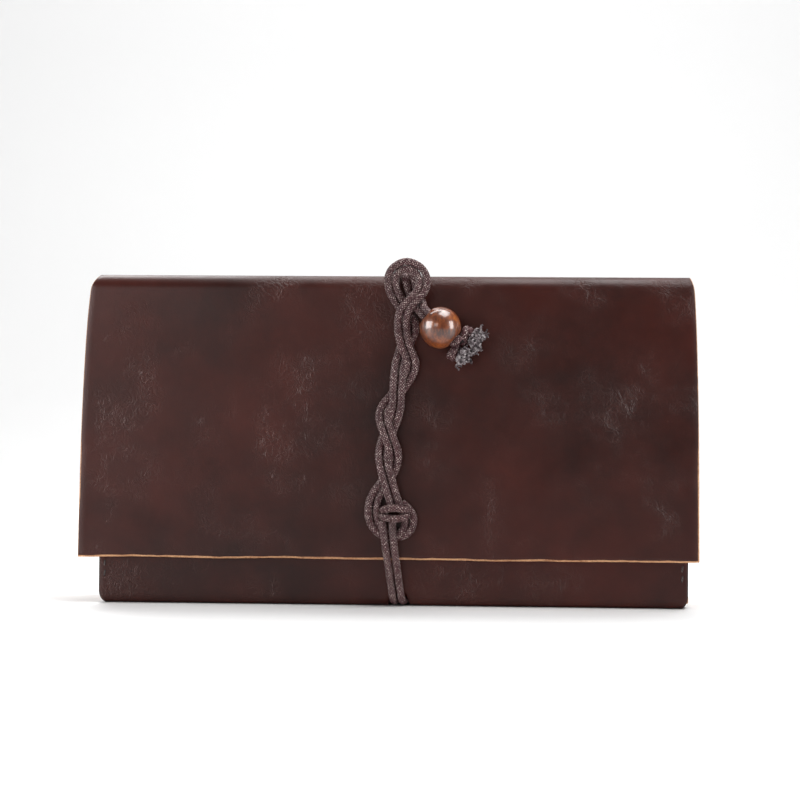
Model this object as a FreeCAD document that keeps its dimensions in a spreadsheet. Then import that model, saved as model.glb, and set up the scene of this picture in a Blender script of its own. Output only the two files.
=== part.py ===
import FreeCAD, Part
import math
import os
import Sketcher

# Long leather wallet, closed and tied. It stands on its base: X runs along its length, the flap hangs
# on the -Y side, and the origin is on the ground under the middle of the leather.

SIZES = {
    # outer leather
    "bodyWidth": 190,
    "flapWidth": 200,
    "foldWidth": 196,
    "baseDepth": 26,
    "leather": 1.8,
    "foldedHeight": 106.5,
    "flapLowerEdge": 15,
    "backHeight": 101,
    "mouthHeight": 90,
    "frontLean": 2.6,
    "foldRadius": 5,
    "baseRadius": 4.5,
    "baseUpright": 6,
    "flapGap": 0.6,
    "moveGap": 0.3,
    "rootStripHeight": 21.5,
    # inside
    "lining": 0.5,
    "pocketLeather": 0.8,
    "board": 1.6,
    "pocketWidth": 180,
    "pocketStep": 12,
    "pocketTop": 90,
    "slipPocketTop": 60,
    "insideFloor": 8,
    "coinWidth": 170,
    "coinTop": 80,
    "coinBack": 3.7,
    "coinGap": 5.4,
    "gussetFold": 7.4,
    "gussetLeather": 1,
    "gussetTop": 84,
    "tape": 0.5,
    "tapeHeight": 9,
    "zipLength": 164,
    "coilThick": 1.4,
    "sliderLength": 9,
    "sliderPlate": 1,
    "sliderClear": 0.3,
    "sliderFlange": 1.1,
    "sliderFlangeTall": 1.4,
    "postWide": 2,
    "postDeep": 2.4,
    "postTall": 4,
    "lowerPlateDeep": 3.6,
    "lugWide": 2.4,
    "lugDeep": 1.2,
    "lugTall": 2.6,
    "pinRadius": 0.4,
    "pinPlay": 0.05,
    "pinLength": 3.2,
    "pinLift": 1.5,
    "pullLength": 12,
    "pullWide": 4,
    "pullThick": 1,
    "earLong": 4,
    "earWide": 0.8,
    "earTall": 1.2,
    "stopSize": 1.6,
    # thread
    "stitchLength": 2.2,
    "stitchPitch": 3.2,
    "threadWidth": 0.7,
    "threadProud": 0.35,
    "stitchInset": 1.9,
    "seamShort": 2,
    # cord, bead and keeper
    "cordThick": 2.5,
    "cordLift": 1.4,
    "cordOverThread": 1.8,
    "cordJoinGap": 0.35,
    "strandSpread": 1.35,
    "beadWide": 13.3,
    "beadHole": 5.9,
    "beadPlaceX": 16.8,
    "beadPlaceZ": 89.4,
    "knotRadius": 2.8,
    "keeperWidth": 30,
    "keeperHeight": 14,
    "keeperThick": 1.5,
    "keeperRoom": 2.8,
    "keeperMiddle": 4,
    "keeperLow": 42,
    "channelWidth": 12,
    "channelTop": 2.9,
}

doc = FreeCAD.newDocument("LongWallet")
sheet = doc.addObject("Spreadsheet::Sheet", "Sizes")
for row, (alias, number) in enumerate(SIZES.items(), start=1):
    sheet.set(f"A{row}", alias)
    sheet.set(f"B{row}", str(number))
    sheet.setAlias(f"B{row}", alias)
doc.recompute()

subParts = []

# Expressions that several pieces share. The lean is how far the front has moved back at a height.
backFace = "(Sizes.baseDepth / 2)"
backInner = "(Sizes.baseDepth / 2 - Sizes.leather)"
stripFace = "(Sizes.baseDepth / 2 + Sizes.leather)"
leanRate = "(Sizes.frontLean / (Sizes.mouthHeight - Sizes.baseUpright))"
foldCentreZ = "(Sizes.foldedHeight - Sizes.foldRadius)"


def frontFace(height, outward="0"):
    """Y of the leaning front panel's outer face at a height, moved outward by an amount."""
    return f"(-Sizes.baseDepth / 2 + {leanRate} * ({height} - Sizes.baseUpright) - ({outward}))"


flapFace = frontFace("Sizes.flapLowerEdge", "Sizes.flapGap + Sizes.leather")
keeperFace = f"({backFace} + Sizes.keeperRoom + Sizes.keeperThick)"
middle = f"(-({flapFace} + {keeperFace}) / 2)"
rearFoldY = f"({stripFace} - Sizes.foldRadius)"
frontFoldY = f"({frontFace(foldCentreZ, 'Sizes.flapGap + Sizes.leather')} + Sizes.foldRadius)"


def size(alias):
    return float(sheet.get(alias))


def keep(piece, name):
    """Adds a finished sub-part, whose label names its file."""
    piece.Label = name
    subParts.append(piece)
    return piece


def place(piece, x="0", y="0", z="0"):
    """Binds a piece's place; y is counted from the middle of the base."""
    piece.setExpression("Placement.Base.x", x)
    piece.setExpression("Placement.Base.y", f"{y} + {middle}")
    piece.setExpression("Placement.Base.z", z)


def plate(name, wide, deep, tall, y, z, x=None):
    """An upright rectangular piece. y is its front, z its lower edge, and x its left end or centred."""
    piece = doc.addObject("Part::Box", name + "_box")
    piece.setExpression("Length", wide)
    piece.setExpression("Width", deep)
    piece.setExpression("Height", tall)
    place(piece, x or f"-({wide}) / 2", y, z)
    return keep(piece, name)


def outline(body, name, plane, points):
    """A closed sketch through points given as pairs of expressions."""
    sketch = body.newObject("Sketcher::SketchObject", name)
    base = [p for p in body.Origin.OriginFeatures if p.Role == plane][0]
    sketch.AttachmentSupport = (base, [""])
    sketch.MapMode = "FlatFace"
    count = len(points)
    for i in range(count):
        turn, after = 2 * math.pi * i / count, 2 * math.pi * (i + 1) / count
        start = FreeCAD.Vector(math.cos(turn), math.sin(turn), 0)
        end = FreeCAD.Vector(math.cos(after), math.sin(after), 0)
        sketch.addGeometry(Part.LineSegment(start, end), False)
    for i in range(count):
        sketch.addConstraint(Sketcher.Constraint("Coincident", i, 2, (i + 1) % count, 1))
    for i, point in enumerate(points):
        corner = sketch.getPoint(i, 1)
        for way, now, expression in (("DistanceX", corner.x, point[0]), ("DistanceY", corner.y, point[1])):
            number = sketch.addConstraint(Sketcher.Constraint(way, -1, 1, i, 1, now))
            sketch.setExpression(f"Constraints[{number}]", expression)
    return sketch


def profile(name, points, wide, fillets=()):
    """A piece of one cross-section all along X, centred. fillets are ((y, z) places, radius)."""
    body = doc.addObject("PartDesign::Body", name + "_body")
    pad = body.newObject("PartDesign::Pad", name + "_pad")
    pad.Profile = outline(body, name + "_section", "YZ_Plane", points)
    pad.Midplane = True
    pad.setExpression("Length", wide)
    doc.recompute()
    for number, (places, radius) in enumerate(fillets):
        last = body.Tip
        fillet = body.newObject("PartDesign::Fillet", f"{name}_round{number}")
        fillet.Base = (last, [longEdge(last.Shape, y, z) for y, z in places])
        fillet.setExpression("Radius", radius)
        doc.recompute()
    place(body)
    return keep(body, name)


def longEdge(shape, y, z):
    """The name of the edge along X that is nearest to a place in the cross-section."""
    found = []
    for number, edge in enumerate(shape.Edges, start=1):
        ends = [v.Point for v in edge.Vertexes]
        if len(ends) == 2 and abs(ends[0].x - ends[1].x) > 1:
            away = math.hypot(ends[0].y - y, ends[0].z - z)
            found.append((away, number))
    return f"Edge{min(found)[1]}"


def upright(name, points, tall, z):
    """A piece of one plan all the way up, from a height."""
    body = doc.addObject("PartDesign::Body", name + "_body")
    pad = body.newObject("PartDesign::Pad", name + "_pad")
    pad.Profile = outline(body, name + "_plan", "XY_Plane", points)
    pad.setExpression("Length", tall)
    doc.recompute()
    place(body, z=z)
    return keep(body, name)


def quarterFold(name, y, turn):
    """The quarter ring of leather where the flap turns over an edge."""
    outer = doc.addObject("Part::Cylinder", name + "_outer")
    outer.setExpression("Radius", "Sizes.foldRadius")
    inner = doc.addObject("Part::Cylinder", name + "_inner")
    inner.setExpression("Radius", "Sizes.foldRadius - Sizes.leather")
    for cylinder in (outer, inner):
        cylinder.setExpression("Height", "Sizes.foldWidth")
        cylinder.setExpression("Angle", "90")
    ring = doc.addObject("Part::Cut", name + "_ring")
    ring.Base = outer
    ring.Tool = inner
    stand = FreeCAD.Rotation(FreeCAD.Vector(0, 1, 0), 90)
    ring.Placement = FreeCAD.Placement(FreeCAD.Vector(), FreeCAD.Rotation(FreeCAD.Vector(1, 0, 0), turn) * stand)
    place(ring, "-Sizes.foldWidth / 2", y, foldCentreZ)
    return keep(ring, name)


def made(name, shape):
    """A sub-part whose shape is worked out here from the sheet's sizes."""
    piece = doc.addObject("Part::Feature", name + "_shape")
    piece.Shape = shape
    piece.Placement = FreeCAD.Placement(FreeCAD.Vector(0, 0, 0), FreeCAD.Rotation())
    place(piece)
    return keep(piece, name)


# ---- leather of the pouch ----

doc.recompute()
halfBase = size("baseDepth") / 2
base = profile(
    "base_panel",
    [
        ("-Sizes.baseDepth / 2", "Sizes.baseUpright"),
        ("-Sizes.baseDepth / 2", "0"),
        ("Sizes.baseDepth / 2", "0"),
        ("Sizes.baseDepth / 2", "Sizes.baseUpright"),
        (backInner, "Sizes.baseUpright"),
        (backInner, "Sizes.leather"),
        (f"-{backInner}", "Sizes.leather"),
        (f"-{backInner}", "Sizes.baseUpright"),
    ],
    "Sizes.bodyWidth",
    [
        ([(-halfBase, 0), (halfBase, 0)], "Sizes.baseRadius"),
        (
            [(-halfBase + size("leather"), size("leather")), (halfBase - size("leather"), size("leather"))],
            "Sizes.baseRadius - Sizes.leather",
        ),
    ],
)


def cordChannel(body, name):
    """The hollow across the underside where the cord is pulled into the base, sloping up at both ends."""
    before = body.Shape.Volume
    slope = 4.3
    cut = body.newObject("PartDesign::Pocket", name + "_channel")
    section = outline(
        body,
        name + "_channel_section",
        "YZ_Plane",
        [
            ("-Sizes.baseDepth / 2 - 1", "-1"),
            ("Sizes.baseDepth / 2 + 1", "-1"),
            ("Sizes.baseDepth / 2 + 1", f"Sizes.channelTop + {slope}"),
            ("Sizes.baseDepth / 2", f"Sizes.channelTop + {slope}"),
            (f"Sizes.baseDepth / 2 - {slope}", "Sizes.channelTop"),
            (f"-Sizes.baseDepth / 2 + {slope}", "Sizes.channelTop"),
            ("-Sizes.baseDepth / 2", f"Sizes.channelTop + {slope}"),
            ("-Sizes.baseDepth / 2 - 1", f"Sizes.channelTop + {slope}"),
        ],
    )
    section.setExpression("AttachmentOffset.Base.z", "Sizes.channelWidth / 2")
    cut.Profile = section
    cut.Midplane = True
    cut.setExpression("Length", "Sizes.channelWidth")
    doc.recompute()
    print(name, "channel takes", round(before - body.Shape.Volume, 1), "mm3")


cordChannel(base, "base_panel")

stiffener = profile(
    "base_board",
    [
        (f"-{backInner} + Sizes.baseRadius", "Sizes.leather"),
        (f"{backInner} - Sizes.baseRadius", "Sizes.leather"),
        (f"{backInner} - Sizes.baseRadius", "Sizes.leather + Sizes.board"),
        (f"-{backInner} + Sizes.baseRadius", "Sizes.leather + Sizes.board"),
    ],
    "Sizes.pocketWidth",
)
cordChannel(stiffener, "base_board")

plate("back_panel", "Sizes.bodyWidth", "Sizes.leather", "Sizes.backHeight - Sizes.baseUpright",
      backInner, "Sizes.baseUpright")
plate("flap_root_strip", "Sizes.foldWidth", "Sizes.leather", "Sizes.rootStripHeight",
      backFace, f"{foldCentreZ} - Sizes.rootStripHeight")


def leaning(name, inward, thick, low, high, wide):
    """A sheet parallel to the front panel, its outer face moved inward by an amount."""
    near = f"-({inward})"
    far = f"-({inward} + {thick})"
    profile(
        name,
        [
            (frontFace(low, near), low),
            (frontFace(low, far), low),
            (frontFace(high, far), high),
            (frontFace(high, near), high),
        ],
        wide,
    )


leaning("front_panel", "0", "Sizes.leather", "Sizes.baseUpright + Sizes.moveGap", "Sizes.mouthHeight",
        "Sizes.bodyWidth")
leaning("front_lining", "Sizes.leather", "Sizes.lining", "Sizes.insideFloor", "Sizes.mouthHeight - 2",
        "Sizes.pocketWidth")
leaning("front_slip_pocket", "Sizes.leather + Sizes.lining", "Sizes.pocketLeather", "Sizes.insideFloor",
        "Sizes.slipPocketTop", "Sizes.pocketWidth")

# ---- flap: fold over the back, top, fold at the front, and the front drop ----

quarterFold("flap_rear_fold", rearFoldY, 90)
plate("flap_top", "Sizes.foldWidth", f"{rearFoldY} - {frontFoldY} - 2 * Sizes.moveGap", "Sizes.leather",
      f"{frontFoldY} + Sizes.moveGap", "Sizes.foldedHeight - Sizes.leather")
quarterFold("flap_front_fold", frontFoldY, 180)
leaning("flap_front", "-Sizes.flapGap - Sizes.leather", "Sizes.leather", "Sizes.flapLowerEdge",
        f"{foldCentreZ} - Sizes.moveGap", "Sizes.flapWidth")

# ---- linings and pockets ----

plate("back_lining", "Sizes.pocketWidth", "Sizes.lining", "Sizes.mouthHeight + 4 - Sizes.insideFloor",
      f"{backInner} - Sizes.lining", "Sizes.insideFloor")
for step, name in enumerate(("card_pocket_rear", "card_pocket_middle", "card_pocket_front")):
    plate(name, "Sizes.pocketWidth", "Sizes.pocketLeather",
          f"Sizes.pocketTop - {step} * Sizes.pocketStep - Sizes.insideFloor",
          f"{backInner} - Sizes.lining - {step + 1} * Sizes.pocketLeather", "Sizes.insideFloor")

coinFront = "(Sizes.coinBack - 2 * Sizes.pocketLeather - Sizes.coinGap)"
coinInner = f"({coinFront} + Sizes.pocketLeather)"
coinTall = "(Sizes.coinTop - Sizes.insideFloor)"
plate("coin_pocket_rear_wall", "Sizes.coinWidth", "Sizes.pocketLeather", coinTall,
      "Sizes.coinBack - Sizes.pocketLeather", "Sizes.insideFloor")
plate("coin_pocket_front_wall", "Sizes.coinWidth", "Sizes.pocketLeather", coinTall, coinFront,
      "Sizes.insideFloor")
plate("coin_pocket_base", "Sizes.coinWidth", "Sizes.coinGap", "Sizes.pocketLeather", coinInner,
      "Sizes.insideFloor")
for side, name in ((-1, "coin_pocket_left_side"), (1, "coin_pocket_right_side")):
    plate(name, "Sizes.pocketLeather", "Sizes.coinGap", f"{coinTall} - Sizes.pocketLeather", coinInner,
          "Sizes.insideFloor + Sizes.pocketLeather",
          f"{side} * (Sizes.coinWidth - Sizes.pocketLeather) / 2 - Sizes.pocketLeather / 2")


def gusset(name, side):
    """A bellows side that folds inward between the back and front panels."""
    edge = f"{side} * (Sizes.bodyWidth / 2 - 1)"
    fold = f"{side} * (Sizes.bodyWidth / 2 - 1 - Sizes.gussetFold)"
    thick = f"{side} * Sizes.gussetLeather"
    front = frontFace("Sizes.mouthHeight", "-Sizes.leather - 2 * Sizes.moveGap")
    inside = f"({front} + {backInner}) / 2"
    upright(
        name,
        [
            (edge, backInner),
            (fold, inside),
            (edge, front),
            (f"{edge} - {thick}", front),
            (f"{fold} - {thick}", inside),
            (f"{edge} - {thick}", backInner),
        ],
        "Sizes.gussetTop - Sizes.baseUpright",
        "Sizes.baseUpright",
    )


gusset("left_gusset", -1)
gusset("right_gusset", 1)

# ---- coin pocket's zip, open, with the slider at its left end ----

tapeLow = "(Sizes.coinTop - Sizes.tapeHeight + 1.5)"
tapeTop = f"({tapeLow} + Sizes.tapeHeight)"
coinRear = "(Sizes.coinBack - Sizes.pocketLeather)"
plate("zip_tape_rear", "Sizes.zipLength", "Sizes.tape", "Sizes.tapeHeight", f"{coinRear} - Sizes.tape", tapeLow)
plate("zip_tape_front", "Sizes.zipLength", "Sizes.tape", "Sizes.tapeHeight", coinInner, tapeLow)


def coil(name, y):
    """A row of zip teeth, as the round envelope of its coil."""
    rod = doc.addObject("Part::Cylinder", name + "_rod")
    rod.setExpression("Radius", "Sizes.coilThick / 2")
    rod.setExpression("Height", "Sizes.zipLength - 6")
    rod.Placement.Rotation = FreeCAD.Rotation(FreeCAD.Vector(0, 1, 0), 90)
    place(rod, "-(Sizes.zipLength - 6) / 2", y, f"{tapeTop} + Sizes.coilThick / 2")
    keep(rod, name)


rearCoilY = f"({coinRear} - Sizes.tape + Sizes.coilThick / 2)"
frontCoilY = f"({coinInner} + Sizes.tape - Sizes.coilThick / 2)"
coil("zip_teeth_rear", rearCoilY)
coil("zip_teeth_front", frontCoilY)

sliderX = "(-Sizes.zipLength / 2 + 3.5 + Sizes.sliderLength / 2)"
zipMiddle = f"(({rearCoilY} + {frontCoilY}) / 2)"
coilTop = f"({tapeTop} + Sizes.coilThick)"


def block(name, wide, deep, tall, x, y, z):
    """A small box centred on x and y, for joining to others."""
    piece = doc.addObject("Part::Box", name)
    piece.setExpression("Length", wide)
    piece.setExpression("Width", deep)
    piece.setExpression("Height", tall)
    place(piece, f"{x} - ({wide}) / 2", f"{y} - ({deep}) / 2", z)
    return piece


def joined(name, pieces):
    fuse = doc.addObject("Part::MultiFuse", name + "_joined")
    fuse.Shapes = pieces
    return keep(fuse, name)


coilsApart = f"({rearCoilY} - {frontCoilY} + Sizes.coilThick)"
flangeY = f"({coilsApart} / 2 + Sizes.sliderClear + Sizes.sliderFlange / 2)"
flangeZ = f"{coilTop} - 0.9"
pullHeight = f"({coilTop} + Sizes.sliderClear + Sizes.sliderPlate)"
topDeep = f"{coilsApart} + 2 * Sizes.sliderClear + 2 * Sizes.sliderFlange"
joined(
    "zip_slider",
    [
        block("slider_top", "Sizes.sliderLength", topDeep, "Sizes.sliderPlate", sliderX, zipMiddle,
              f"{coilTop} + Sizes.sliderClear"),
        block("slider_post", "Sizes.postWide", "Sizes.postDeep", "Sizes.postTall", sliderX, zipMiddle,
              f"{coilTop} + Sizes.sliderClear + 0.3 - Sizes.postTall"),
        block("slider_lower", "Sizes.sliderLength", "Sizes.lowerPlateDeep", "Sizes.sliderPlate", sliderX,
              zipMiddle, f"{tapeTop} - 2 * Sizes.sliderPlate"),
        block("slider_rear_flange", "Sizes.sliderLength", "Sizes.sliderFlange", "Sizes.sliderFlangeTall",
              sliderX, f"{zipMiddle} + {flangeY}", flangeZ),
        block("slider_front_flange", "Sizes.sliderLength", "Sizes.sliderFlange", "Sizes.sliderFlangeTall",
              sliderX, f"{zipMiddle} - {flangeY}", flangeZ),
        block("slider_lug", "Sizes.lugWide", "Sizes.lugDeep", "Sizes.lugTall", sliderX, zipMiddle, pullHeight),
    ],
)


def crossPin(name, radius):
    """A rod across the slider's lug, where the pull turns."""
    rod = doc.addObject("Part::Cylinder", name)
    rod.setExpression("Radius", radius)
    rod.setExpression("Height", "Sizes.pinLength")
    rod.Placement.Rotation = FreeCAD.Rotation(FreeCAD.Vector(1, 0, 0), -90)
    place(rod, sliderX, f"{zipMiddle} - Sizes.pinLength / 2", pullPinZ)
    return rod


pullPinZ = f"({pullHeight} + Sizes.pinLift)"
pin = crossPin("pull_pin", "Sizes.pinRadius")
solidSlider = subParts.pop()
solidSlider.Label = "zip_slider_undrilled"
drilled = doc.addObject("Part::Cut", "zip_slider_drilled")
drilled.Base = solidSlider
drilled.Tool = crossPin("pull_pin_hole", "Sizes.pinRadius + Sizes.pinPlay")
keep(drilled, "zip_slider")
ears = []
for name, earSide in (("rear", "+"), ("front", "-")):
    ears.append(block(f"pull_{name}_ear", "Sizes.earLong", "Sizes.earWide", "Sizes.earTall",
                      f"{sliderX} + Sizes.lugWide / 2", f"{zipMiddle} {earSide} Sizes.lugDeep",
                      f"{pullPinZ} - Sizes.earTall / 2"))
pullTab = block("pull_tab", "Sizes.pullLength", "Sizes.pullWide", "Sizes.pullThick",
                f"{sliderX} + Sizes.earLong - 1 + Sizes.pullLength / 2", zipMiddle,
                f"{pullPinZ} - Sizes.pullThick / 2")
joined("zip_pull", [*ears, pullTab, pin])

stops = []
for end in (-1, 1):
    for coilY in (rearCoilY, frontCoilY):
        stops.append(block(f"stop{len(stops)}", "Sizes.stopSize", "Sizes.coilThick", "Sizes.stopSize",
                           f"{end} * (Sizes.zipLength / 2 - 1.4)", coilY, tapeTop))
group = doc.addObject("Part::Compound", "zip_stops")
group.Links = stops
keep(group, "zip_end_stops")

# ---- keeper on the back ----

roomHalf = "(2 * Sizes.strandSpread + 1.2)"
upright(
    "cord_keeper",
    [
        ("Sizes.keeperMiddle - Sizes.keeperWidth / 2", backFace),
        (f"Sizes.keeperMiddle - {roomHalf}", backFace),
        (f"Sizes.keeperMiddle - {roomHalf}", f"{backFace} + Sizes.keeperRoom"),
        (f"Sizes.keeperMiddle + {roomHalf}", f"{backFace} + Sizes.keeperRoom"),
        (f"Sizes.keeperMiddle + {roomHalf}", backFace),
        ("Sizes.keeperMiddle + Sizes.keeperWidth / 2", backFace),
        ("Sizes.keeperMiddle + Sizes.keeperWidth / 2", f"{backFace} + Sizes.keeperThick"),
        (f"Sizes.keeperMiddle + {roomHalf} + Sizes.keeperThick", f"{backFace} + Sizes.keeperThick"),
        (f"Sizes.keeperMiddle + {roomHalf} + Sizes.keeperThick - 1", keeperFace),
        (f"Sizes.keeperMiddle - {roomHalf} - Sizes.keeperThick + 1", keeperFace),
        (f"Sizes.keeperMiddle - {roomHalf} - Sizes.keeperThick", f"{backFace} + Sizes.keeperThick"),
        ("Sizes.keeperMiddle - Sizes.keeperWidth / 2", f"{backFace} + Sizes.keeperThick"),
    ],
    "Sizes.keeperHeight",
    "Sizes.keeperLow",
)

# ---- sewing thread: each stitch lies on the leather's face ----

doc.recompute()
stitch = size("stitchLength")
proud = size("threadProud")
threadWide = size("threadWidth")
lean = size("frontLean") / (size("mouthHeight") - size("baseUpright"))


def stitchRow(start, end, outward):
    """Stitches at one pitch from start to end, each a small block standing outward along Y."""
    run = end - start
    count = int(run.Length // size("stitchPitch"))
    along = run / count
    row = []
    for i in range(count):
        low = start + along * (i + 0.15)
        if abs(run.x) > abs(run.z):
            block = Part.makeBox(stitch, proud, threadWide, low)
        else:
            block = Part.makeBox(threadWide, proud, stitch, low)
            block.rotate(low, FreeCAD.Vector(1, 0, 0), -math.degrees(math.atan2(run.y, run.z)))
        if outward < 0:
            block.translate(FreeCAD.Vector(0, -proud, 0))
        row.append(block)
    return row


def frontY(z, outward=0):
    return -halfBase + lean * (z - size("baseUpright")) - outward


rowX = size("bodyWidth") / 2 - size("stitchInset")
rowLow = size("insideFloor")
rowHigh = size("mouthHeight") - 3
seamShort = size("seamShort")
frontRows = []
backRows = []
for side in (-1, 1):
    x = side * rowX - threadWide / 2
    frontRows += stitchRow(FreeCAD.Vector(x, frontY(rowLow, 0.02), rowLow),
                           FreeCAD.Vector(x, frontY(rowHigh, 0.02), rowHigh), -1)
    backRows += stitchRow(FreeCAD.Vector(x, halfBase, rowLow),
                          FreeCAD.Vector(x, halfBase, size("backHeight") - size("rootStripHeight") - seamShort), 1)
made("front_side_stitches", Part.makeCompound(frontRows))
made("back_side_stitches", Part.makeCompound(backRows))

stripRows = []
stripX = size("foldWidth") / 2 - 3
for drop in (3, 18):
    z = size("foldedHeight") - size("foldRadius") - drop
    stripRows += stitchRow(FreeCAD.Vector(-stripX, halfBase + size("leather"), z),
                           FreeCAD.Vector(stripX, halfBase + size("leather"), z), 1)
made("flap_root_stitches", Part.makeCompound(stripRows))

keeperRows = []
keeperLow = size("keeperLow") + 1
keeperTop = size("keeperLow") + size("keeperHeight") - 1
for side in (-1, 1):
    x = size("keeperMiddle") + side * (size("keeperWidth") / 2 - seamShort) - threadWide / 2
    keeperRows += stitchRow(FreeCAD.Vector(x, halfBase + size("keeperThick"), keeperLow),
                            FreeCAD.Vector(x, halfBase + size("keeperThick"), keeperTop), 1)
made("keeper_stitches", Part.makeCompound(keeperRows))

pocketY = halfBase - size("leather") - size("lining") - 3 * size("pocketLeather")
pocketSeamLow = size("insideFloor") + seamShort
pocketSeamTop = size("pocketTop") - 2 * size("pocketStep") - seamShort
made("card_pocket_stitches", Part.makeCompound(
    stitchRow(FreeCAD.Vector(-threadWide / 2, pocketY, pocketSeamLow),
              FreeCAD.Vector(-threadWide / 2, pocketY, pocketSeamTop), -1)))

# ---- cord ----


def arcRoute(points):
    """Straight runs joined by tangent arcs. A point may carry the arc's radius as its fourth number."""
    places = [FreeCAD.Vector(*p[:3]) for p in points]
    edges = []
    radii = []
    start = places[0]
    for i in range(1, len(places) - 1):
        before = places[i - 1] - places[i]
        after = places[i + 1] - places[i]
        half = (math.pi - before.getAngle(after)) / 2
        fitting = 0.45 * min(before.Length, after.Length) / math.tan(half)
        radius = points[i][3] if len(points[i]) > 3 else fitting
        reach = radius * math.tan(half)
        enter = places[i] + before.normalize() * reach
        leave = places[i] + after.normalize() * reach
        bisector = (before + after).normalize()
        centre = places[i] + bisector * (radius / math.cos(half))
        top = centre - bisector * radius
        if (enter - start).Length > 1e-4:
            edges.append(Part.LineSegment(start, enter).toShape())
        edges.append(Part.Arc(enter, top, leave).toShape())
        radii.append(round(radius, 1))
        start = leave
    edges.append(Part.LineSegment(start, places[-1]).toShape())
    return Part.Wire(edges), radii


def cord(name, points):
    """One strand of the cord along a route."""
    path, radii = arcRoute(points)
    first = path.OrderedEdges[0]
    radius = size("cordThick") / 2
    ring = Part.Wire(Part.makeCircle(radius, first.valueAt(first.FirstParameter),
                                     first.tangentAt(first.FirstParameter)))
    tube = path.makePipeShell([ring], True, False)
    expected = math.pi * radius**2 * path.Length
    print(f"{name}: {path.Length:.0f} mm, volume {tube.Volume / expected:.3f} of section by length, radii {radii}")
    return made(name, tube)


lift = size("cordLift")
spread = size("strandSpread")
faceLow = halfBase + size("leather")
foldZ = size("foldedHeight") - size("foldRadius")
overThread = size("cordOverThread")
joinGap = size("cordJoinGap")
foldArc = size("foldRadius") + lift


def flapY(z, above):
    """Y at a height on the flap's outer face, with the cord's middle above it."""
    return frontY(z, size("flapGap") + size("leather")) - above


hingeZ = 7.5
underZ = lift + 0.1
cornerArc = hingeZ - underZ - 0.3
backY = halfBase + lift
stripY = faceLow + overThread
topZ = size("foldedHeight") + lift
foldStart = foldZ - 1
frontFoldCordY = flapY(foldZ, lift)

for name, k in (("left", -spread), ("right", spread)):
    cord(
        f"back_cord_{name}",
        [
            (2.7 + k, -backY, hingeZ),
            (3.6 + k, -backY, underZ, cornerArc),
            (8.5 + k, backY, underZ, cornerArc),
            (8.7 + k, backY + 0.5, 9, 20),
            (7.4 + k, backY, 26),
            (4.6 + k, backY, 42),
            (3.4 + k, backY, 58),
            (2.4 + k, backY + 0.6, 70),
            (1.8 + k, stripY + 0.2, 79),
            (1.0 + k, stripY, foldStart),
        ],
    )
    cord(
        f"top_cord_{name}",
        [
            (1.0 + k, stripY, foldStart + joinGap),
            (1.3 + k, stripY, topZ, foldArc),
            (6.2 + k, frontFoldCordY, topZ, foldArc),
            (7.6 + k, frontFoldCordY, foldStart + joinGap),
        ],
    )

# The bead hangs beside the twisted cord, its hole running down to the right.
beadRadius = size("beadWide") / 2
beadMiddle = FreeCAD.Vector(size("beadPlaceX"), flapY(size("beadPlaceZ"), beadRadius + 0.3), size("beadPlaceZ"))
holeWay = FreeCAD.Vector(0.76, 0, -0.65)
strandApart = FreeCAD.Vector(0.585, -0.9, 0.684)

ball = doc.addObject("Part::Sphere", "bead_ball")
ball.setExpression("Radius", "Sizes.beadWide / 2")
bore = doc.addObject("Part::Cylinder", "bead_bore")
bore.setExpression("Radius", "Sizes.beadHole / 2")
bore.setExpression("Height", "Sizes.beadWide * 2")
bore.setExpression("Placement.Base.z", "-Sizes.beadWide")
bead = doc.addObject("Part::Cut", "bead_cut")
bead.Base = ball
bead.Tool = bore
bead.Placement = FreeCAD.Placement(beadMiddle, FreeCAD.Rotation(FreeCAD.Vector(0, 0, 1), holeWay))
place(bead, "Sizes.beadPlaceX", f"{frontFace('Sizes.beadPlaceZ', 'Sizes.flapGap + Sizes.leather')}"
      " - Sizes.beadWide / 2 - 0.3", "Sizes.beadPlaceZ")
keep(bead, "bead")

for name, k in (("left", -1), ("right", 1)):
    enter = beadMiddle - holeWay * (beadRadius + 1.5) + strandApart * k
    leave = beadMiddle + holeWay * (beadRadius + 1.2) + strandApart * k
    cord(
        f"bead_cord_{name}",
        [
            (7.7 + k * spread, frontFoldCordY, foldStart - joinGap),
            (10.0 + k * spread, flapY(foldStart - 3.4, lift), foldStart - 3.4),
            (enter.x, enter.y, enter.z),
            (leave.x, leave.y, leave.z),
        ],
    )

for name, x, z in (("upper", 27.0, 86.6), ("lower", 22.6, 80.0)):
    knot = doc.addObject("Part::Sphere", f"end_knot_{name}_ball")
    knot.setExpression("Radius", "Sizes.knotRadius")
    place(knot, str(x), f"{frontFace(str(z), 'Sizes.flapGap + Sizes.leather')} - 6.5", str(z))
    keep(knot, f"end_knot_{name}")

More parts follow.
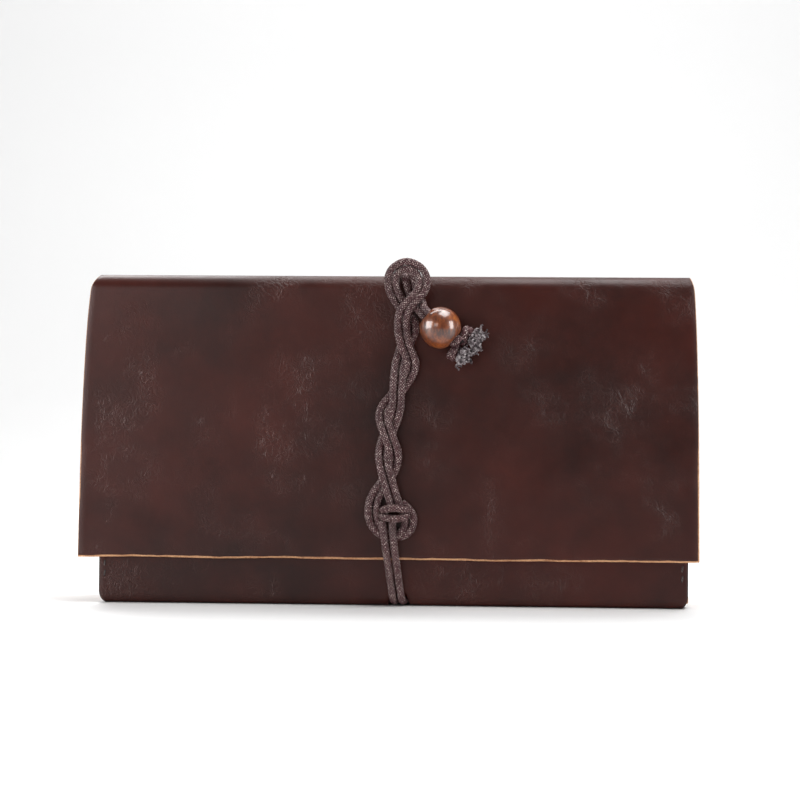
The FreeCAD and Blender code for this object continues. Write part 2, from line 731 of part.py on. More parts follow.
# The front cord: two strands rise from the hitch, arch over the top edge, and come back down,
# twisted with themselves. A row is x, z, height above the flap, and which way the strands part.
up, down = 180, 0
loopRoute = [
    (2.9, 32.3, 3.0, up),
    (0.2, 41.0, 4.0, up),
    (-1.8, 48.4, 2.7, up),
    (0.0, 55.2, 1.4, up),
    (2.9, 62.3, 2.7, up),
    (3.1, 69.4, 4.0, up),
    (3.5, 77.1, 2.7, up),
    (5.2, 83.5, 1.4, up),
    (8.2, 89.7, 2.5, up),
    (4.8, 95.8, 1.4, up),
    (1.0, 101.6, 2.4, up),
    (1.0, 107.4, 3.0, 150),
    (5.8, 110.2, 3.4, 90),
    (10.8, 107.4, 3.4, 30),
    (11.4, 101.4, 4.6, down),
    (5.0, 95.5, 5.8, down),
    (4.2, 89.7, 3.6, down),
    (5.5, 83.5, 4.0, down),
    (8.4, 77.4, 2.7, down),
    (4.2, 70.0, 1.4, down),
    (-2.3, 62.6, 2.7, down),
    (0.3, 55.2, 4.0, down),
    (2.9, 48.4, 2.7, down),
    (0.3, 41.0, 1.4, down),
    (-4.6, 34.6, 2.0, down),
    (-4.6, 26.6, 1.8, down),
    (1.0, 21.6, 1.4, down),
    (7.0, 24.0, 1.8, down),
    (7.6, 30.6, 2.0, down),
    (3.6, 33.4, 1.6, down),
]
for name, part in (("outer", 1), ("inner", -1)):
    points = []
    for x, z, above, way in loopRoute:
        turn = math.radians(way)
        points.append((x + part * spread * math.cos(turn), flapY(z, above),
                       z + part * spread * math.sin(turn)))
    cord(f"loop_strand_{name}", points)

for name, k in (("left", -1), ("right", 1)):
    cord(
        f"rising_cord_{name}",
        [
            (2.6 + k * spread, -backY, hingeZ + joinGap),
            (1.9 + k * spread, flapY(14, lift), 14),
            (0.9 + k * spread, flapY(21, lift + 2.7), 21),
            (0.3 + k * 1.6, flapY(27.5, lift + 1.8), 27.5),
        ],
    )


def band(name, low, high, z, above, bow):
    """One turn of the hitch across the front of the cord."""
    cord(name, [(low, flapY(z, above), z), ((low + high) / 2, flapY(z, above + 0.5), z + bow),
                (high, flapY(z, above), z)])


band("hitch_turn_upper", -1.0, 6.2, 31.5, 4.6, 0.5)
band("hitch_turn_lower", -1.2, 6.4, 28.9, 4.6, -0.5)

# ---- check and write ----

doc.recompute()
for thing in doc.Objects:
    if {"Invalid", "Error"} & set(thing.State):
        raise SystemExit(f"{thing.Name} failed: {thing.State}")
os.makedirs("parts", exist_ok=True)
names = [piece.Label for piece in subParts]
if len(set(names)) != len(names):
    raise SystemExit("two sub-parts share a name")
for piece in subParts:
    shape = piece.Shape
    if shape.isNull() or not shape.isValid() or shape.Volume <= 0:
        raise SystemExit(f"{piece.Label} has no valid shape")
    shape.exportStep(f"parts/{piece.Label}.step")
    box = shape.BoundBox
    print(f"{piece.Label}: {shape.Volume:.1f} mm3, x {box.XMin:.1f} {box.XMax:.1f}, "
          f"y {box.YMin:.1f} {box.YMax:.1f}, z {box.ZMin:.1f} {box.ZMax:.1f}")
print(len(subParts), "sub-parts")
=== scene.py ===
import math
import random

import bmesh
import bpy
from mathutils import Matrix, Vector, noise


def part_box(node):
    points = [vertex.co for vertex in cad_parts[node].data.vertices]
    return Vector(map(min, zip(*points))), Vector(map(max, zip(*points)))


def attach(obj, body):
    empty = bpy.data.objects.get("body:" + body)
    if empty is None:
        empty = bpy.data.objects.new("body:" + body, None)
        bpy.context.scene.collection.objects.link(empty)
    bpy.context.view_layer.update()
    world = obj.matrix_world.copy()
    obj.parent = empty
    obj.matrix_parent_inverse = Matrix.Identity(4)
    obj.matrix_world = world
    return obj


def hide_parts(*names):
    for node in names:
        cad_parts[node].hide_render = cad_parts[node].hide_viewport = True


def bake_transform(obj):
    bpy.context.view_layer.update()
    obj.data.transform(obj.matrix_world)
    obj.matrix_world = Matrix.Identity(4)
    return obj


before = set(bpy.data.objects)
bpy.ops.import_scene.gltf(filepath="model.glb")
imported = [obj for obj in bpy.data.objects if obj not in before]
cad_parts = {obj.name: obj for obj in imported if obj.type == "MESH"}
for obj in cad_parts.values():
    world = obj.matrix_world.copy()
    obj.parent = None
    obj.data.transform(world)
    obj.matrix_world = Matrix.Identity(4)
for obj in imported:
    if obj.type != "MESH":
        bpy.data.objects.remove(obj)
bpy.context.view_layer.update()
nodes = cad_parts
mm = 0.001
random.seed(7)
print("frame loaded,", len(nodes), "nodes")

# Every size below is in millimetres, in the wallet's own frame: X along it, the flap on the -Y side.


def boxOf(name):
    low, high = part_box(name)
    return low / mm, high / mm


baseLow, baseHigh = boxOf("base_panel")
backLow, backHigh = boxOf("back_panel")
stripLow, stripHigh = boxOf("flap_root_strip")
flapLow, flapHigh = boxOf("flap_front")
topLow, topHigh = boxOf("flap_top")
frontLow, frontHigh = boxOf("front_panel")
leather = topHigh.z - topLow.z
middleY = (baseLow.y + baseHigh.y) / 2
lean = (flapHigh.y - flapLow.y - leather) / (flapHigh.z - flapLow.z)
foldRadius = topHigh.z - stripHigh.z
foldZ = stripHigh.z
frontFoldY = flapLow.y + lean * (foldZ - flapLow.z) + foldRadius


def flapY(z, above=0):
    return flapLow.y + lean * (z - flapLow.z) - above


# ---- camera ----

view = {
    "lens": 85,
    "sensor": 36,
    "away": 607,
    "turn": 2.4,
    "roll": 0.45,
    "lookX": 3.9,
    "lookZ": 66.3,
}
camera = bpy.data.objects.new("camera", bpy.data.cameras.new("camera"))
bpy.context.scene.collection.objects.link(camera)
camera.data.lens = view["lens"]
camera.data.sensor_width = view["sensor"]
camera.data.clip_start = 0.02
turn = math.radians(view["turn"])
aim = Vector((view["lookX"], flapY(50), view["lookZ"])) * mm
camera.location = aim + Vector((math.sin(turn), -math.cos(turn), 0)) * view["away"] * mm
camera.rotation_mode = "QUATERNION"
facing = (aim - camera.location).to_track_quat("-Z", "Y")
camera.rotation_quaternion = facing @ Matrix.Rotation(math.radians(view["roll"]), 3, "Z").to_quaternion()
bpy.context.scene.camera = camera
bpy.context.scene.view_settings.view_transform = "Standard"
print("camera placed")

# ---- helpers for meshes ----


def newPiece(name, points, faces, material, body=None, smooth=True):
    mesh = bpy.data.meshes.new(name)
    mesh.from_pydata([tuple(p * mm) for p in points], [], faces)
    mesh.update()
    if smooth:
        mesh.shade_smooth()
    piece = bpy.data.objects.new(name, mesh)
    bpy.context.scene.collection.objects.link(piece)
    for one in material if isinstance(material, (list, tuple)) else [material]:
        mesh.materials.append(one)
    if body:
        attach(piece, body)
    return piece


def paint(piece, name, values):
    # a number at each point that a material reads
    attribute = piece.data.attributes.new(name, "FLOAT", "POINT")
    attribute.data.foreach_set("value", values)


def readSpline(points):
    # the line of a NURBS spline with these control points
    curve = bpy.data.curves.new("route", "CURVE")
    curve.dimensions = "3D"
    spline = curve.splines.new("NURBS")
    spline.points.add(len(points) - 1)
    for place, point in zip(spline.points, points):
        place.co = (*Vector(point[:3]), 1)
    spline.order_u = 3
    spline.use_endpoint_u = True
    spline.resolution_u = 14
    carrier = bpy.data.objects.new("route", curve)
    bpy.context.scene.collection.objects.link(carrier)
    bpy.context.view_layer.update()
    line = bpy.data.meshes.new_from_object(carrier.evaluated_get(bpy.context.evaluated_depsgraph_get()))
    found = [v.co.copy() for v in line.vertices]
    bpy.data.objects.remove(carrier)
    bpy.data.curves.remove(curve)
    bpy.data.meshes.remove(line)
    return found


def evenly(points, step):
    # the same line with points one step apart
    lengths = [0]
    for before, after in zip(points, points[1:]):
        lengths.append(lengths[-1] + (after - before).length)
    count = max(3, round(lengths[-1] / step))
    spaced = []
    at = 0
    for i in range(count + 1):
        want = lengths[-1] * i / count
        while at < len(points) - 2 and lengths[at + 1] < want:
            at += 1
        share = (want - lengths[at]) / max(lengths[at + 1] - lengths[at], 1e-9)
        spaced.append(points[at].lerp(points[at + 1], min(max(share, 0), 1)))
    return spaced


def lengthOf(points):
    return sum((b - a).length for a, b in zip(points, points[1:]))


def framesAlong(path):
    # a pair of cross directions at each point that turns as little as it can
    across = None
    for i, point in enumerate(path):
        ahead = (path[min(i + 1, len(path) - 1)] - path[max(i - 1, 0)]).normalized()
        if across is None:
            across = ahead.orthogonal().normalized()
        across = (across - ahead * across.dot(ahead)).normalized()
        yield point, ahead, across, ahead.cross(across)


def weaveHeight(s, t):
    # how high the upper of two crossing strands stands, from 0 in a gap to 1
    one, two = s - math.floor(s) - 0.5, t - math.floor(t) - 0.5
    if (math.floor(s) + math.floor(t)) % 2:
        one, two = two, one
    return math.sqrt(max(math.cos(math.pi * one), 0)) * (0.62 + 0.38 * math.cos(math.pi * two))


def braidedCord(name, path, braid, material):
    radius = braid["thick"] / 2
    around = braid["around"]
    steps = evenly(path, braid["step"])
    points, faces, heights = [], [], []
    along = 0
    total = lengthOf(steps)
    for i, (point, ahead, across, up) in enumerate(framesAlong(steps)):
        if i:
            along += (steps[i] - steps[i - 1]).length
        near = min(along, total - along)
        round_ = math.sqrt(max(1 - (1 - min(near / radius, 1)) ** 2, 0.05)) if braid.get("roundEnds") else 1
        for j in range(around):
            turned = j / around
            s = turned * braid["strands"] + along / braid["cell"]
            t = turned * braid["strands"] - along / braid["cell"]
            height = weaveHeight(s, t)
            uneven = noise.noise(point * 0.35 + Vector((turned * 3, 0, 7))) * 0.05
            reach = (radius - braid["relief"] * (1 - height) + uneven) * round_
            angle = 2 * math.pi * turned
            points.append(point + (across * math.cos(angle) + up * math.sin(angle)) * reach)
            heights.append(height)
    rings = len(steps)
    for i in range(rings - 1):
        for j in range(around):
            k = (j + 1) % around
            faces.append((i * around + j, i * around + k, (i + 1) * around + k, (i + 1) * around + j))
    faces.append(tuple(reversed(range(around))))
    faces.append(tuple((rings - 1) * around + j for j in range(around)))
    piece = newPiece(name, points, faces, material)
    paint(piece, "weave", heights)
    return piece


# ---- helpers for materials ----


def linear(hexColour):
    # an sRGB hex colour as the linear numbers that a shader takes
    channels = [int(hexColour[i:i + 2], 16) / 255 for i in (1, 3, 5)]
    return tuple(c / 12.92 if c <= 0.04045 else ((c + 0.055) / 1.055) ** 2.4 for c in channels) + (1,)


def addNode(material, kind, inputs=None, **settings):
    # inputs are numbers, colours, or (node, output) pairs
    node = material.node_tree.nodes.new(kind)
    for key, value in settings.items():
        if key == "stops":
            ramp = node.color_ramp
            while len(ramp.elements) < len(value):
                ramp.elements.new(0.5)
            for stop, (place, colour) in zip(ramp.elements, value):
                stop.position = place
                stop.color = colour if len(colour) == 4 else (*colour, 1)
        else:
            setattr(node, key, value)
    for key, value in (inputs or {}).items():
        socket = node.inputs[key]
        if isinstance(value, tuple) and len(value) == 2 and hasattr(value[0], "outputs"):
            material.node_tree.links.new(value[0].outputs[value[1]], socket)
        else:
            socket.default_value = value
    return node


def newMaterial(name):
    material = bpy.data.materials.new(name)
    material.use_nodes = True
    material.node_tree.nodes.clear()
    return material


def finishMaterial(material, shaderInputs, bump=None):
    if bump:
        shaderInputs["Normal"] = (bump, "Normal")
    shader = addNode(material, "ShaderNodeBsdfPrincipled", shaderInputs)
    addNode(material, "ShaderNodeOutputMaterial", {"Surface": (shader, "BSDF")})
    return material


def grey(value):
    return (value, value, value, 1)


# Waxed braided cotton: the wax gives a dull sheen; the strands' crowns are painted light as a painted highlight, and
# the gaps between strands are painted dark as painted shade.
# the crown colour is a painted highlight, the gap colour is painted shade, the strand colour is the cord's own
cordLook = {"crownHighlight": "#f2dcd4", "strand": "#573639", "gap": "#150a0b", "rough": 0.55, "fibre": 0.6}


def waxedCotton(name, look):
    material = newMaterial(name)
    place = addNode(material, "ShaderNodeTexCoord")
    weave = addNode(material, "ShaderNodeAttribute", attribute_name="weave")
    fibre = addNode(material, "ShaderNodeTexNoise", {"Vector": (place, "Object"), "Scale": 1 / (look["fibre"] * mm),
                                                     "Detail": 2.0})
    stain = addNode(material, "ShaderNodeTexNoise", {"Vector": (place, "Object"), "Scale": 1 / (6 * mm),
                                                     "Detail": 3.0})
    level = addNode(material, "ShaderNodeMath", {0: (fibre, "Fac"), 1: 1.0, 2: (weave, "Fac")},
                    operation="MULTIPLY_ADD")
    scaled = addNode(material, "ShaderNodeMath", {0: (level, "Value"), 1: 1.75}, operation="DIVIDE")
    # colour from the weave height: painted shade in the gaps, a painted highlight on the crowns
    colour = addNode(material, "ShaderNodeValToRGB", {"Fac": (scaled, "Value")},
                     stops=[(0.42, linear(look["gap"])), (0.6, linear(look["strand"])),
                            (0.74, linear(look["strand"])), (0.88, linear(look["crownHighlight"]))])
    tone = addNode(material, "ShaderNodeValToRGB", {"Fac": (stain, "Fac")}, stops=[(0.3, grey(0.78)), (0.7, grey(1.1))])
    mixed = addNode(material, "ShaderNodeMix", {"Factor": 1.0, "A": (colour, "Color"), "B": (tone, "Color")},
                    data_type="RGBA", blend_type="MULTIPLY")
    bump = addNode(material, "ShaderNodeBump", {"Height": (fibre, "Fac"), "Strength": 0.35, "Distance": 0.08 * mm})
    return finishMaterial(material, {"Base Color": (mixed, "Result"), "Roughness": look["rough"],
                                     "Specular IOR Level": 0.2}, bump)


cordCotton = waxedCotton("waxed braided cotton", cordLook)

# ---- cord ----

braid = {"thick": 2.5, "around": 32, "strands": 8, "cell": 0.95, "relief": 0.3, "step": 0.2}
lift = 1.4
spread = 1.35
backY = (baseHigh.y - baseLow.y) / 2 + lift
stripY = stripHigh.y - middleY + 1.8
topZ = topHigh.z + lift
foldStart = foldZ - 1
frontCordY = flapY(foldZ, lift) - middleY
hingeZ = 7.5
underZ = lift + 0.1

beadLow, beadHigh = boxOf("bead")
beadMiddle = (beadLow + beadHigh) / 2
beadRadius = (beadHigh.x - beadLow.x) / 2
holeWay = Vector((0.76, 0, -0.65)).normalized()
strandApart = Vector((0.585, -0.9, 0.684))


def strandRoute(k):
    # from the hitch down under the base, up the back, over the top and into the bead
    side = k * spread
    enter = beadMiddle - holeWay * (beadRadius + 1.5) + strandApart * k
    leave = beadMiddle + holeWay * (beadRadius + 1.2) + strandApart * k
    rows = [
        (0.3 + k * 1.6, flapY(27.5, lift + 1.8) - middleY, 27.5),
        (0.9 + side, flapY(21, lift + 2.7) - middleY, 21),
        (1.9 + side, flapY(14, lift) - middleY, 14),
        (2.7 + side, -backY, hingeZ),
        (3.6 + side, -backY, underZ),
        (4.6 + side, -8.4, underZ),
        (8.5 + side, backY, underZ),
        (8.7 + side, backY + 0.5, 9),
        (7.4 + side, backY, 26),
        (4.6 + side, backY, 42),
        (3.4 + side, backY, 58),
        (2.4 + side, backY + 0.6, 70),
        (1.8 + side, stripY + 0.2, 79),
        (1.0 + side, stripY, foldStart),
        (1.3 + side, stripY, topZ),
        (6.2 + side, frontCordY, topZ),
        (7.7 + side, frontCordY, foldStart),
        (10.0 + side, flapY(foldStart - 3.4, lift) - middleY, foldStart - 3.4),
    ]
    points = [Vector((x, y + middleY, z)) for x, y, z in rows]
    return points + [enter, leave]


def splitAt(path, test):
    first = next(i for i, p in enumerate(path) if test(p))
    return path[:first + 1], path[first:]


def declareCord(piece, path, far="object", **more):
    round(lengthOf(path) * mm, 3)
    [tuple(p * mm) for p in path]


beadCords = {}
for name, k in (("left", -1), ("right", 1)):
    whole = evenly(readSpline(strandRoute(k)), 0.5)
    rising, rest = splitAt(whole, lambda p: p.y > middleY)
    over, hanging = splitAt(rest[5:], lambda p: p.z > topZ - 1 and p.y < middleY + 1)
    rising = rising + rest[:6]
    piece = braidedCord(f"rising_cord_{name}_braid", rising, braid, cordCotton)
    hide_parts(f"rising_cord_{name}")
    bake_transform(piece)
    declareCord(piece, rising[::-1])
    piece = braidedCord(f"back_cord_{name}_braid", over, braid, cordCotton)
    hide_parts(f"back_cord_{name}")
    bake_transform(piece)
    declareCord(piece, over)
    piece = braidedCord(f"bead_cord_{name}_braid", hanging, braid, cordCotton)
    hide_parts(f"bead_cord_{name}", f"top_cord_{name}")
    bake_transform(piece)
    beadCords[name] = (piece, hanging)
    print("cord", name, "strand", [round(lengthOf(p)) for p in (rising, over, hanging)], "mm")

up, down = 180, 0
loopRoute = [
    (2.9, 32.3, 3.0, up),
    (0.2, 41.0, 4.0, up),
    (-1.8, 48.4, 2.7, up),
    (0.0, 55.2, 1.4, up),
    (2.9, 62.3, 2.7, up),
    (3.1, 69.4, 4.0, up),
    (3.5, 77.1, 2.7, up),
    (5.2, 83.5, 1.4, up),
    (8.2, 89.7, 2.5, up),
    (4.8, 95.8, 1.4, up),
    (1.0, 101.6, 2.4, up),
    (1.0, 107.4, 3.0, 150),
    (5.8, 110.2, 3.4, 90),
    (10.8, 107.4, 3.4, 30),
    (11.4, 101.4, 4.6, down),
    (5.0, 95.5, 5.8, down),
    (4.2, 89.7, 3.6, down),
    (5.5, 83.5, 4.0, down),
    (8.4, 77.4, 2.7, down),
    (4.2, 70.0, 1.4, down),
    (-2.3, 62.6, 2.7, down),
    (0.3, 55.2, 4.0, down),
    (2.9, 48.4, 2.7, down),
    (0.3, 41.0, 1.4, down),
    (-4.6, 34.6, 2.0, down),
    (-4.6, 26.6, 1.8, down),
    (1.0, 21.6, 1.4, down),
    (7.0, 24.0, 1.8, down),
    (7.6, 30.6, 2.0, down),
    (3.6, 33.4, 1.6, down),
]
loopPieces = {}
for name, part in (("outer", 1), ("inner", -1)):
    route = []
    for x, z, above, way in loopRoute:
        parted = math.radians(way)
        route.append(Vector((x + part * spread * math.cos(parted), flapY(z, above),
                             z + part * spread * math.sin(parted))))
    path = evenly(readSpline(route), 0.5)
    loopPieces[name] = braidedCord(f"loop_strand_{name}_braid", path, braid, cordCotton)
    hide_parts(f"loop_strand_{name}")
    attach(loopPieces[name], "cord_loop")
    print("loop strand", name, round(lengthOf(path)), "mm")
    loopPieces[name + "Path"] = path

hitch = {"upper": (-1.0, 6.2, 31.5, 4.6, 0.5), "lower": (-1.2, 6.4, 28.9, 4.6, -0.5)}
turns = []
for name, (low, high, z, above, bow) in hitch.items():
    route = [
        Vector((low + 0.9, flapY(z, above - 3.2), z - bow)),
        Vector((low - 0.4, flapY(z, above - 1.6), z - bow)),
        Vector((low + 0.6, flapY(z, above + 0.4), z)),
        Vector(((low + high) / 2, flapY(z, above + 0.9), z + bow)),
        Vector((high - 0.6, flapY(z, above + 0.4), z)),
        Vector((high + 0.4, flapY(z, above - 1.6), z - bow)),
        Vector((high - 0.9, flapY(z, above - 3.2), z - bow)),
    ]
    turnPath = evenly(readSpline(route), 0.4)
    piece = braidedCord(f"hitch_turn_{name}_braid", turnPath, braid, cordCotton)
    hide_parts(f"hitch_turn_{name}")
    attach(piece, "cord_loop")
    turns.append(piece)
declareCord(loopPieces["outer"], loopPieces["outerPath"], with_pieces=turns)
declareCord(loopPieces["inner"], loopPieces["innerPath"])
print("cords made")

# ---- leather, cloth, thread, metal and wood ----

# Oil-tanned cowhide, dyed and plated smooth: soft gloss, cloudy red-brown, short creases from handling, painted a
# lighter colour along their lines as a painted highlight.
# Each crease group: cell width in mm, line width as a share of the cell, where it starts and is full, depth.
hideLook = {"deep": "#29100c", "warm": "#4a1c14", "creaseHighlight": "#6f4a3e", "cloud": 46, "patch": 9,
            "creases": ((5.2, 0.045, 0.54, 0.66, 1.0), (1.3, 0.12, 0.48, 0.66, 0.55)),
            "pore": 0.55, "rough": 0.37, "shine": 0.26}


def oiledCowhide(name, look):
    material = newMaterial(name)
    texture = addNode(material, "ShaderNodeTexCoord")
    place = (texture, "Object")
    cloud = addNode(material, "ShaderNodeTexNoise", {"Vector": place, "Scale": 1 / (look["cloud"] * mm),
                                                     "Detail": 4.0, "Roughness": 0.55})
    patch = addNode(material, "ShaderNodeTexNoise", {"Vector": place, "Scale": 1 / (look["patch"] * mm),
                                                     "Detail": 5.0, "Roughness": 0.6})
    tone = addNode(material, "ShaderNodeMath", {0: (patch, "Fac"), 1: 0.4, 2: (cloud, "Fac")},
                   operation="MULTIPLY_ADD")
    colour = addNode(material, "ShaderNodeValToRGB", {"Fac": (tone, "Value")},
                     stops=[(0.45, linear(look["deep"])), (0.95, linear(look["warm"]))])
    # creases run along the edges of stretched cells, and only in some places
    bend = addNode(material, "ShaderNodeTexNoise", {"Vector": place, "Scale": 1 / (7 * mm), "Detail": 3.0})
    bent = addNode(material, "ShaderNodeMix", {"Factor": 0.012, "A": place, "B": (bend, "Color")},
                   data_type="VECTOR")
    drawn = addNode(material, "ShaderNodeMapping", {"Vector": (bent, "Result"), "Rotation": (0, -0.6, 0),
                                                    "Scale": (1, 1, 3.4)}, vector_type="TEXTURE")
    handled = addNode(material, "ShaderNodeTexNoise", {"Vector": place, "Scale": 1 / (19 * mm), "Detail": 4.0,
                                                       "Roughness": 0.62})
    crease = None
    for across, sharp, low, high, depth in look["creases"]:
        cells = addNode(material, "ShaderNodeTexVoronoi", {"Vector": (drawn, "Vector"), "Scale": 1 / (across * mm)},
                        feature="DISTANCE_TO_EDGE")
        line = addNode(material, "ShaderNodeMapRange", {"Value": (cells, "Distance"), "From Max": sharp,
                                                        "To Min": depth, "To Max": 0.0})
        some = addNode(material, "ShaderNodeMapRange", {"Value": (handled, "Fac"), "From Min": low,
                                                        "From Max": high})
        cut = addNode(material, "ShaderNodeMath", {0: (line, "Result"), 1: (some, "Result")}, operation="MULTIPLY")
        if crease:
            cut = addNode(material, "ShaderNodeMath", {0: (cut, "Value"), 1: (crease, "Value")},
                          operation="MAXIMUM")
        crease = cut
    # the creases are painted lighter in colour: a painted highlight for the sheen along their ridges
    creaseHighlight = addNode(material, "ShaderNodeMath", {0: (crease, "Value"), 1: 0.12}, operation="MULTIPLY")
    creased = addNode(material, "ShaderNodeMix", {"Factor": (creaseHighlight, "Value"), "A": (colour, "Color"),
                                                  "B": linear(look["creaseHighlight"])}, data_type="RGBA")
    pores = addNode(material, "ShaderNodeTexVoronoi", {"Vector": place, "Scale": 1 / (look["pore"] * mm)})
    grain = addNode(material, "ShaderNodeTexNoise", {"Vector": place, "Scale": 1 / (1.1 * mm), "Detail": 5.0,
                                                     "Roughness": 0.65})
    height = addNode(material, "ShaderNodeMath", {0: (pores, "Distance"), 1: 0.3, 2: (grain, "Fac")},
                     operation="MULTIPLY_ADD")
    fine = addNode(material, "ShaderNodeBump", {"Height": (height, "Value"), "Strength": 0.22,
                                                "Distance": 0.12 * mm})
    folds = addNode(material, "ShaderNodeBump", {"Height": (crease, "Value"), "Strength": 0.6,
                                                 "Distance": 0.2 * mm, "Normal": (fine, "Normal")}, invert=True)
    gloss = addNode(material, "ShaderNodeMapRange", {"Value": (handled, "Fac"), "From Min": 0.3, "From Max": 0.7,
                                                     "To Min": look["rough"] - 0.04, "To Max": look["rough"] + 0.1})
    return finishMaterial(material, {"Base Color": (creased, "Result"), "Roughness": (gloss, "Result"),
                                     "IOR": 1.5, "Specular IOR Level": look["shine"]}, folds)


# A cut hide edge shows the packed fibre under the dyed face: rough and matt, tan where it is left undyed.
def cutFibre(name, light, dark):
    material = newMaterial(name)
    texture = addNode(material, "ShaderNodeTexCoord")
    fibre = addNode(material, "ShaderNodeTexNoise", {"Vector": (texture, "Object"), "Scale": 1 / (0.5 * mm),
                                                     "Detail": 5.0, "Roughness": 0.7})
    broad = addNode(material, "ShaderNodeTexNoise", {"Vector": (texture, "Object"), "Scale": 1 / (6 * mm)})
    tone = addNode(material, "ShaderNodeMath", {0: (broad, "Fac"), 1: 0.5, 2: (fibre, "Fac")},
                   operation="MULTIPLY_ADD")
    colour = addNode(material, "ShaderNodeValToRGB", {"Fac": (tone, "Value")},
                     stops=[(0.55, linear(dark)), (0.9, linear(light))])
    bump = addNode(material, "ShaderNodeBump", {"Height": (fibre, "Fac"), "Strength": 0.6, "Distance": 0.15 * mm})
    return finishMaterial(material, {"Base Color": (colour, "Color"), "Roughness": 0.85}, bump)


# The flesh side of hide, split pigskin and leatherboard: matt, napped, cloudy, with open pores.
def nappedLeather(name, light, dark, pore, rough):
    material = newMaterial(name)
    texture = addNode(material, "ShaderNodeTexCoord")
    place = (texture, "Object")
    nap = addNode(material, "ShaderNodeTexNoise", {"Vector": place, "Scale": 1 / (0.6 * mm), "Detail": 4.0,
                                                   "Roughness": 0.7})
    cloud = addNode(material, "ShaderNodeTexNoise", {"Vector": place, "Scale": 1 / (15 * mm), "Detail": 4.0})
    tone = addNode(material, "ShaderNodeMath", {0: (cloud, "Fac"), 1: 0.8, 2: (nap, "Fac")},
                   operation="MULTIPLY_ADD")
    colour = addNode(material, "ShaderNodeValToRGB", {"Fac": (tone, "Value")},
                     stops=[(0.7, linear(dark)), (1.1, linear(light))])
    pores = addNode(material, "ShaderNodeTexVoronoi", {"Vector": place, "Scale": 1 / (pore * mm)})
    opened = addNode(material, "ShaderNodeMapRange", {"Value": (pores, "Distance"), "From Max": 0.3,
                                                      "To Min": 0.62})
    dotted = addNode(material, "ShaderNodeMix", {"Factor": 1.0, "A": (colour, "Color"), "B": (opened, "Result")},
                     data_type="RGBA", blend_type="MULTIPLY")
    first = addNode(material, "ShaderNodeBump", {"Height": (nap, "Fac"), "Strength": 0.4, "Distance": 0.1 * mm})
    second = addNode(material, "ShaderNodeBump", {"Height": (opened, "Result"), "Strength": 0.3,
                                                  "Distance": 0.1 * mm, "Normal": (first, "Normal")})
    return finishMaterial(material, {"Base Color": (dotted, "Result"), "Roughness": rough}, second)


# Plain-woven cloth: threads over and under each other, drawn about twice as coarse as real so that they show.
def wovenCloth(name, thread, gap, spacing, rough):
    material = newMaterial(name)
    texture = addNode(material, "ShaderNodeTexCoord")
    place = (texture, "Object")
    # a wave texture has 20 / (2 pi) bands to the unit at scale 1
    bands = math.pi / 10 / (spacing * mm)
    warp = addNode(material, "ShaderNodeTexWave", {"Vector": place, "Scale": bands}, bands_direction="X")
    weft = addNode(material, "ShaderNodeTexWave", {"Vector": place, "Scale": bands}, bands_direction="Z")
    crossing = addNode(material, "ShaderNodeMath", {0: (warp, "Fac"), 1: (weft, "Fac")}, operation="MULTIPLY")
    slub = addNode(material, "ShaderNodeTexNoise", {"Vector": place, "Scale": 1 / (3 * mm), "Detail": 3.0})
    tone = addNode(material, "ShaderNodeMath", {0: (slub, "Fac"), 1: 0.5, 2: (crossing, "Value")},
                   operation="MULTIPLY_ADD")
    colour = addNode(material, "ShaderNodeValToRGB", {"Fac": (tone, "Value")},
                     stops=[(0.2, linear(gap)), (0.8, linear(thread))])
    bump = addNode(material, "ShaderNodeBump", {"Height": (crossing, "Value"), "Strength": 0.5,
                                                "Distance": 0.15 * mm})
    return finishMaterial(material, {"Base Color": (colour, "Color"), "Roughness": rough}, bump)


# Waxed linen thread: the twist of its plies shows as fine slanting bands under a waxy sheen.
def twistedThread(name, light, dark, rough=0.5, ply=0.5):
    material = newMaterial(name)
    texture = addNode(material, "ShaderNodeTexCoord")
    bands = addNode(material, "ShaderNodeTexWave", {"Vector": (texture, "Object"),
                                                    "Scale": math.pi / 10 / (ply * mm), "Distortion": 1.0},
                    bands_direction="DIAGONAL")
    colour = addNode(material, "ShaderNodeValToRGB", {"Fac": (bands, "Fac")},
                     stops=[(0.2, linear(dark)), (0.8, linear(light))])
    bump = addNode(material, "ShaderNodeBump", {"Height": (bands, "Fac"), "Strength": 0.4, "Distance": 0.1 * mm})
    return finishMaterial(material, {"Base Color": (colour, "Color"), "Roughness": rough}, bump)


# Antiqued brass: darkened in patches and rubbed bright where it is handled.
def antiquedBrass(name, bright, dark):
    material = newMaterial(name)
    texture = addNode(material, "ShaderNodeTexCoord")
    tarnish = addNode(material, "ShaderNodeTexNoise", {"Vector": (texture, "Object"), "Scale": 1 / (2.2 * mm),
                                                       "Detail": 5.0, "Roughness": 0.65})
    colour = addNode(material, "ShaderNodeValToRGB", {"Fac": (tarnish, "Fac")},
                     stops=[(0.35, linear(dark)), (0.6, linear(bright))])
    rough = addNode(material, "ShaderNodeMapRange", {"Value": (tarnish, "Fac"), "From Min": 0.35, "From Max": 0.65,
                                                     "To Min": 0.5, "To Max": 0.25})
    bump = addNode(material, "ShaderNodeBump", {"Height": (tarnish, "Fac"), "Strength": 0.15,
                                                "Distance": 0.08 * mm})
    return finishMaterial(material, {"Base Color": (colour, "Color"), "Metallic": 1.0,
                                     "Roughness": (rough, "Result")}, bump)


# Turned hardwood under thick clear lacquer: orange-brown with dark rings and pores, and a hard gloss.
woodLook = {"light": "#bd6d2e", "middle": "#86431d", "dark": "#451d0d", "ring": 1.6, "pore": 0.7}


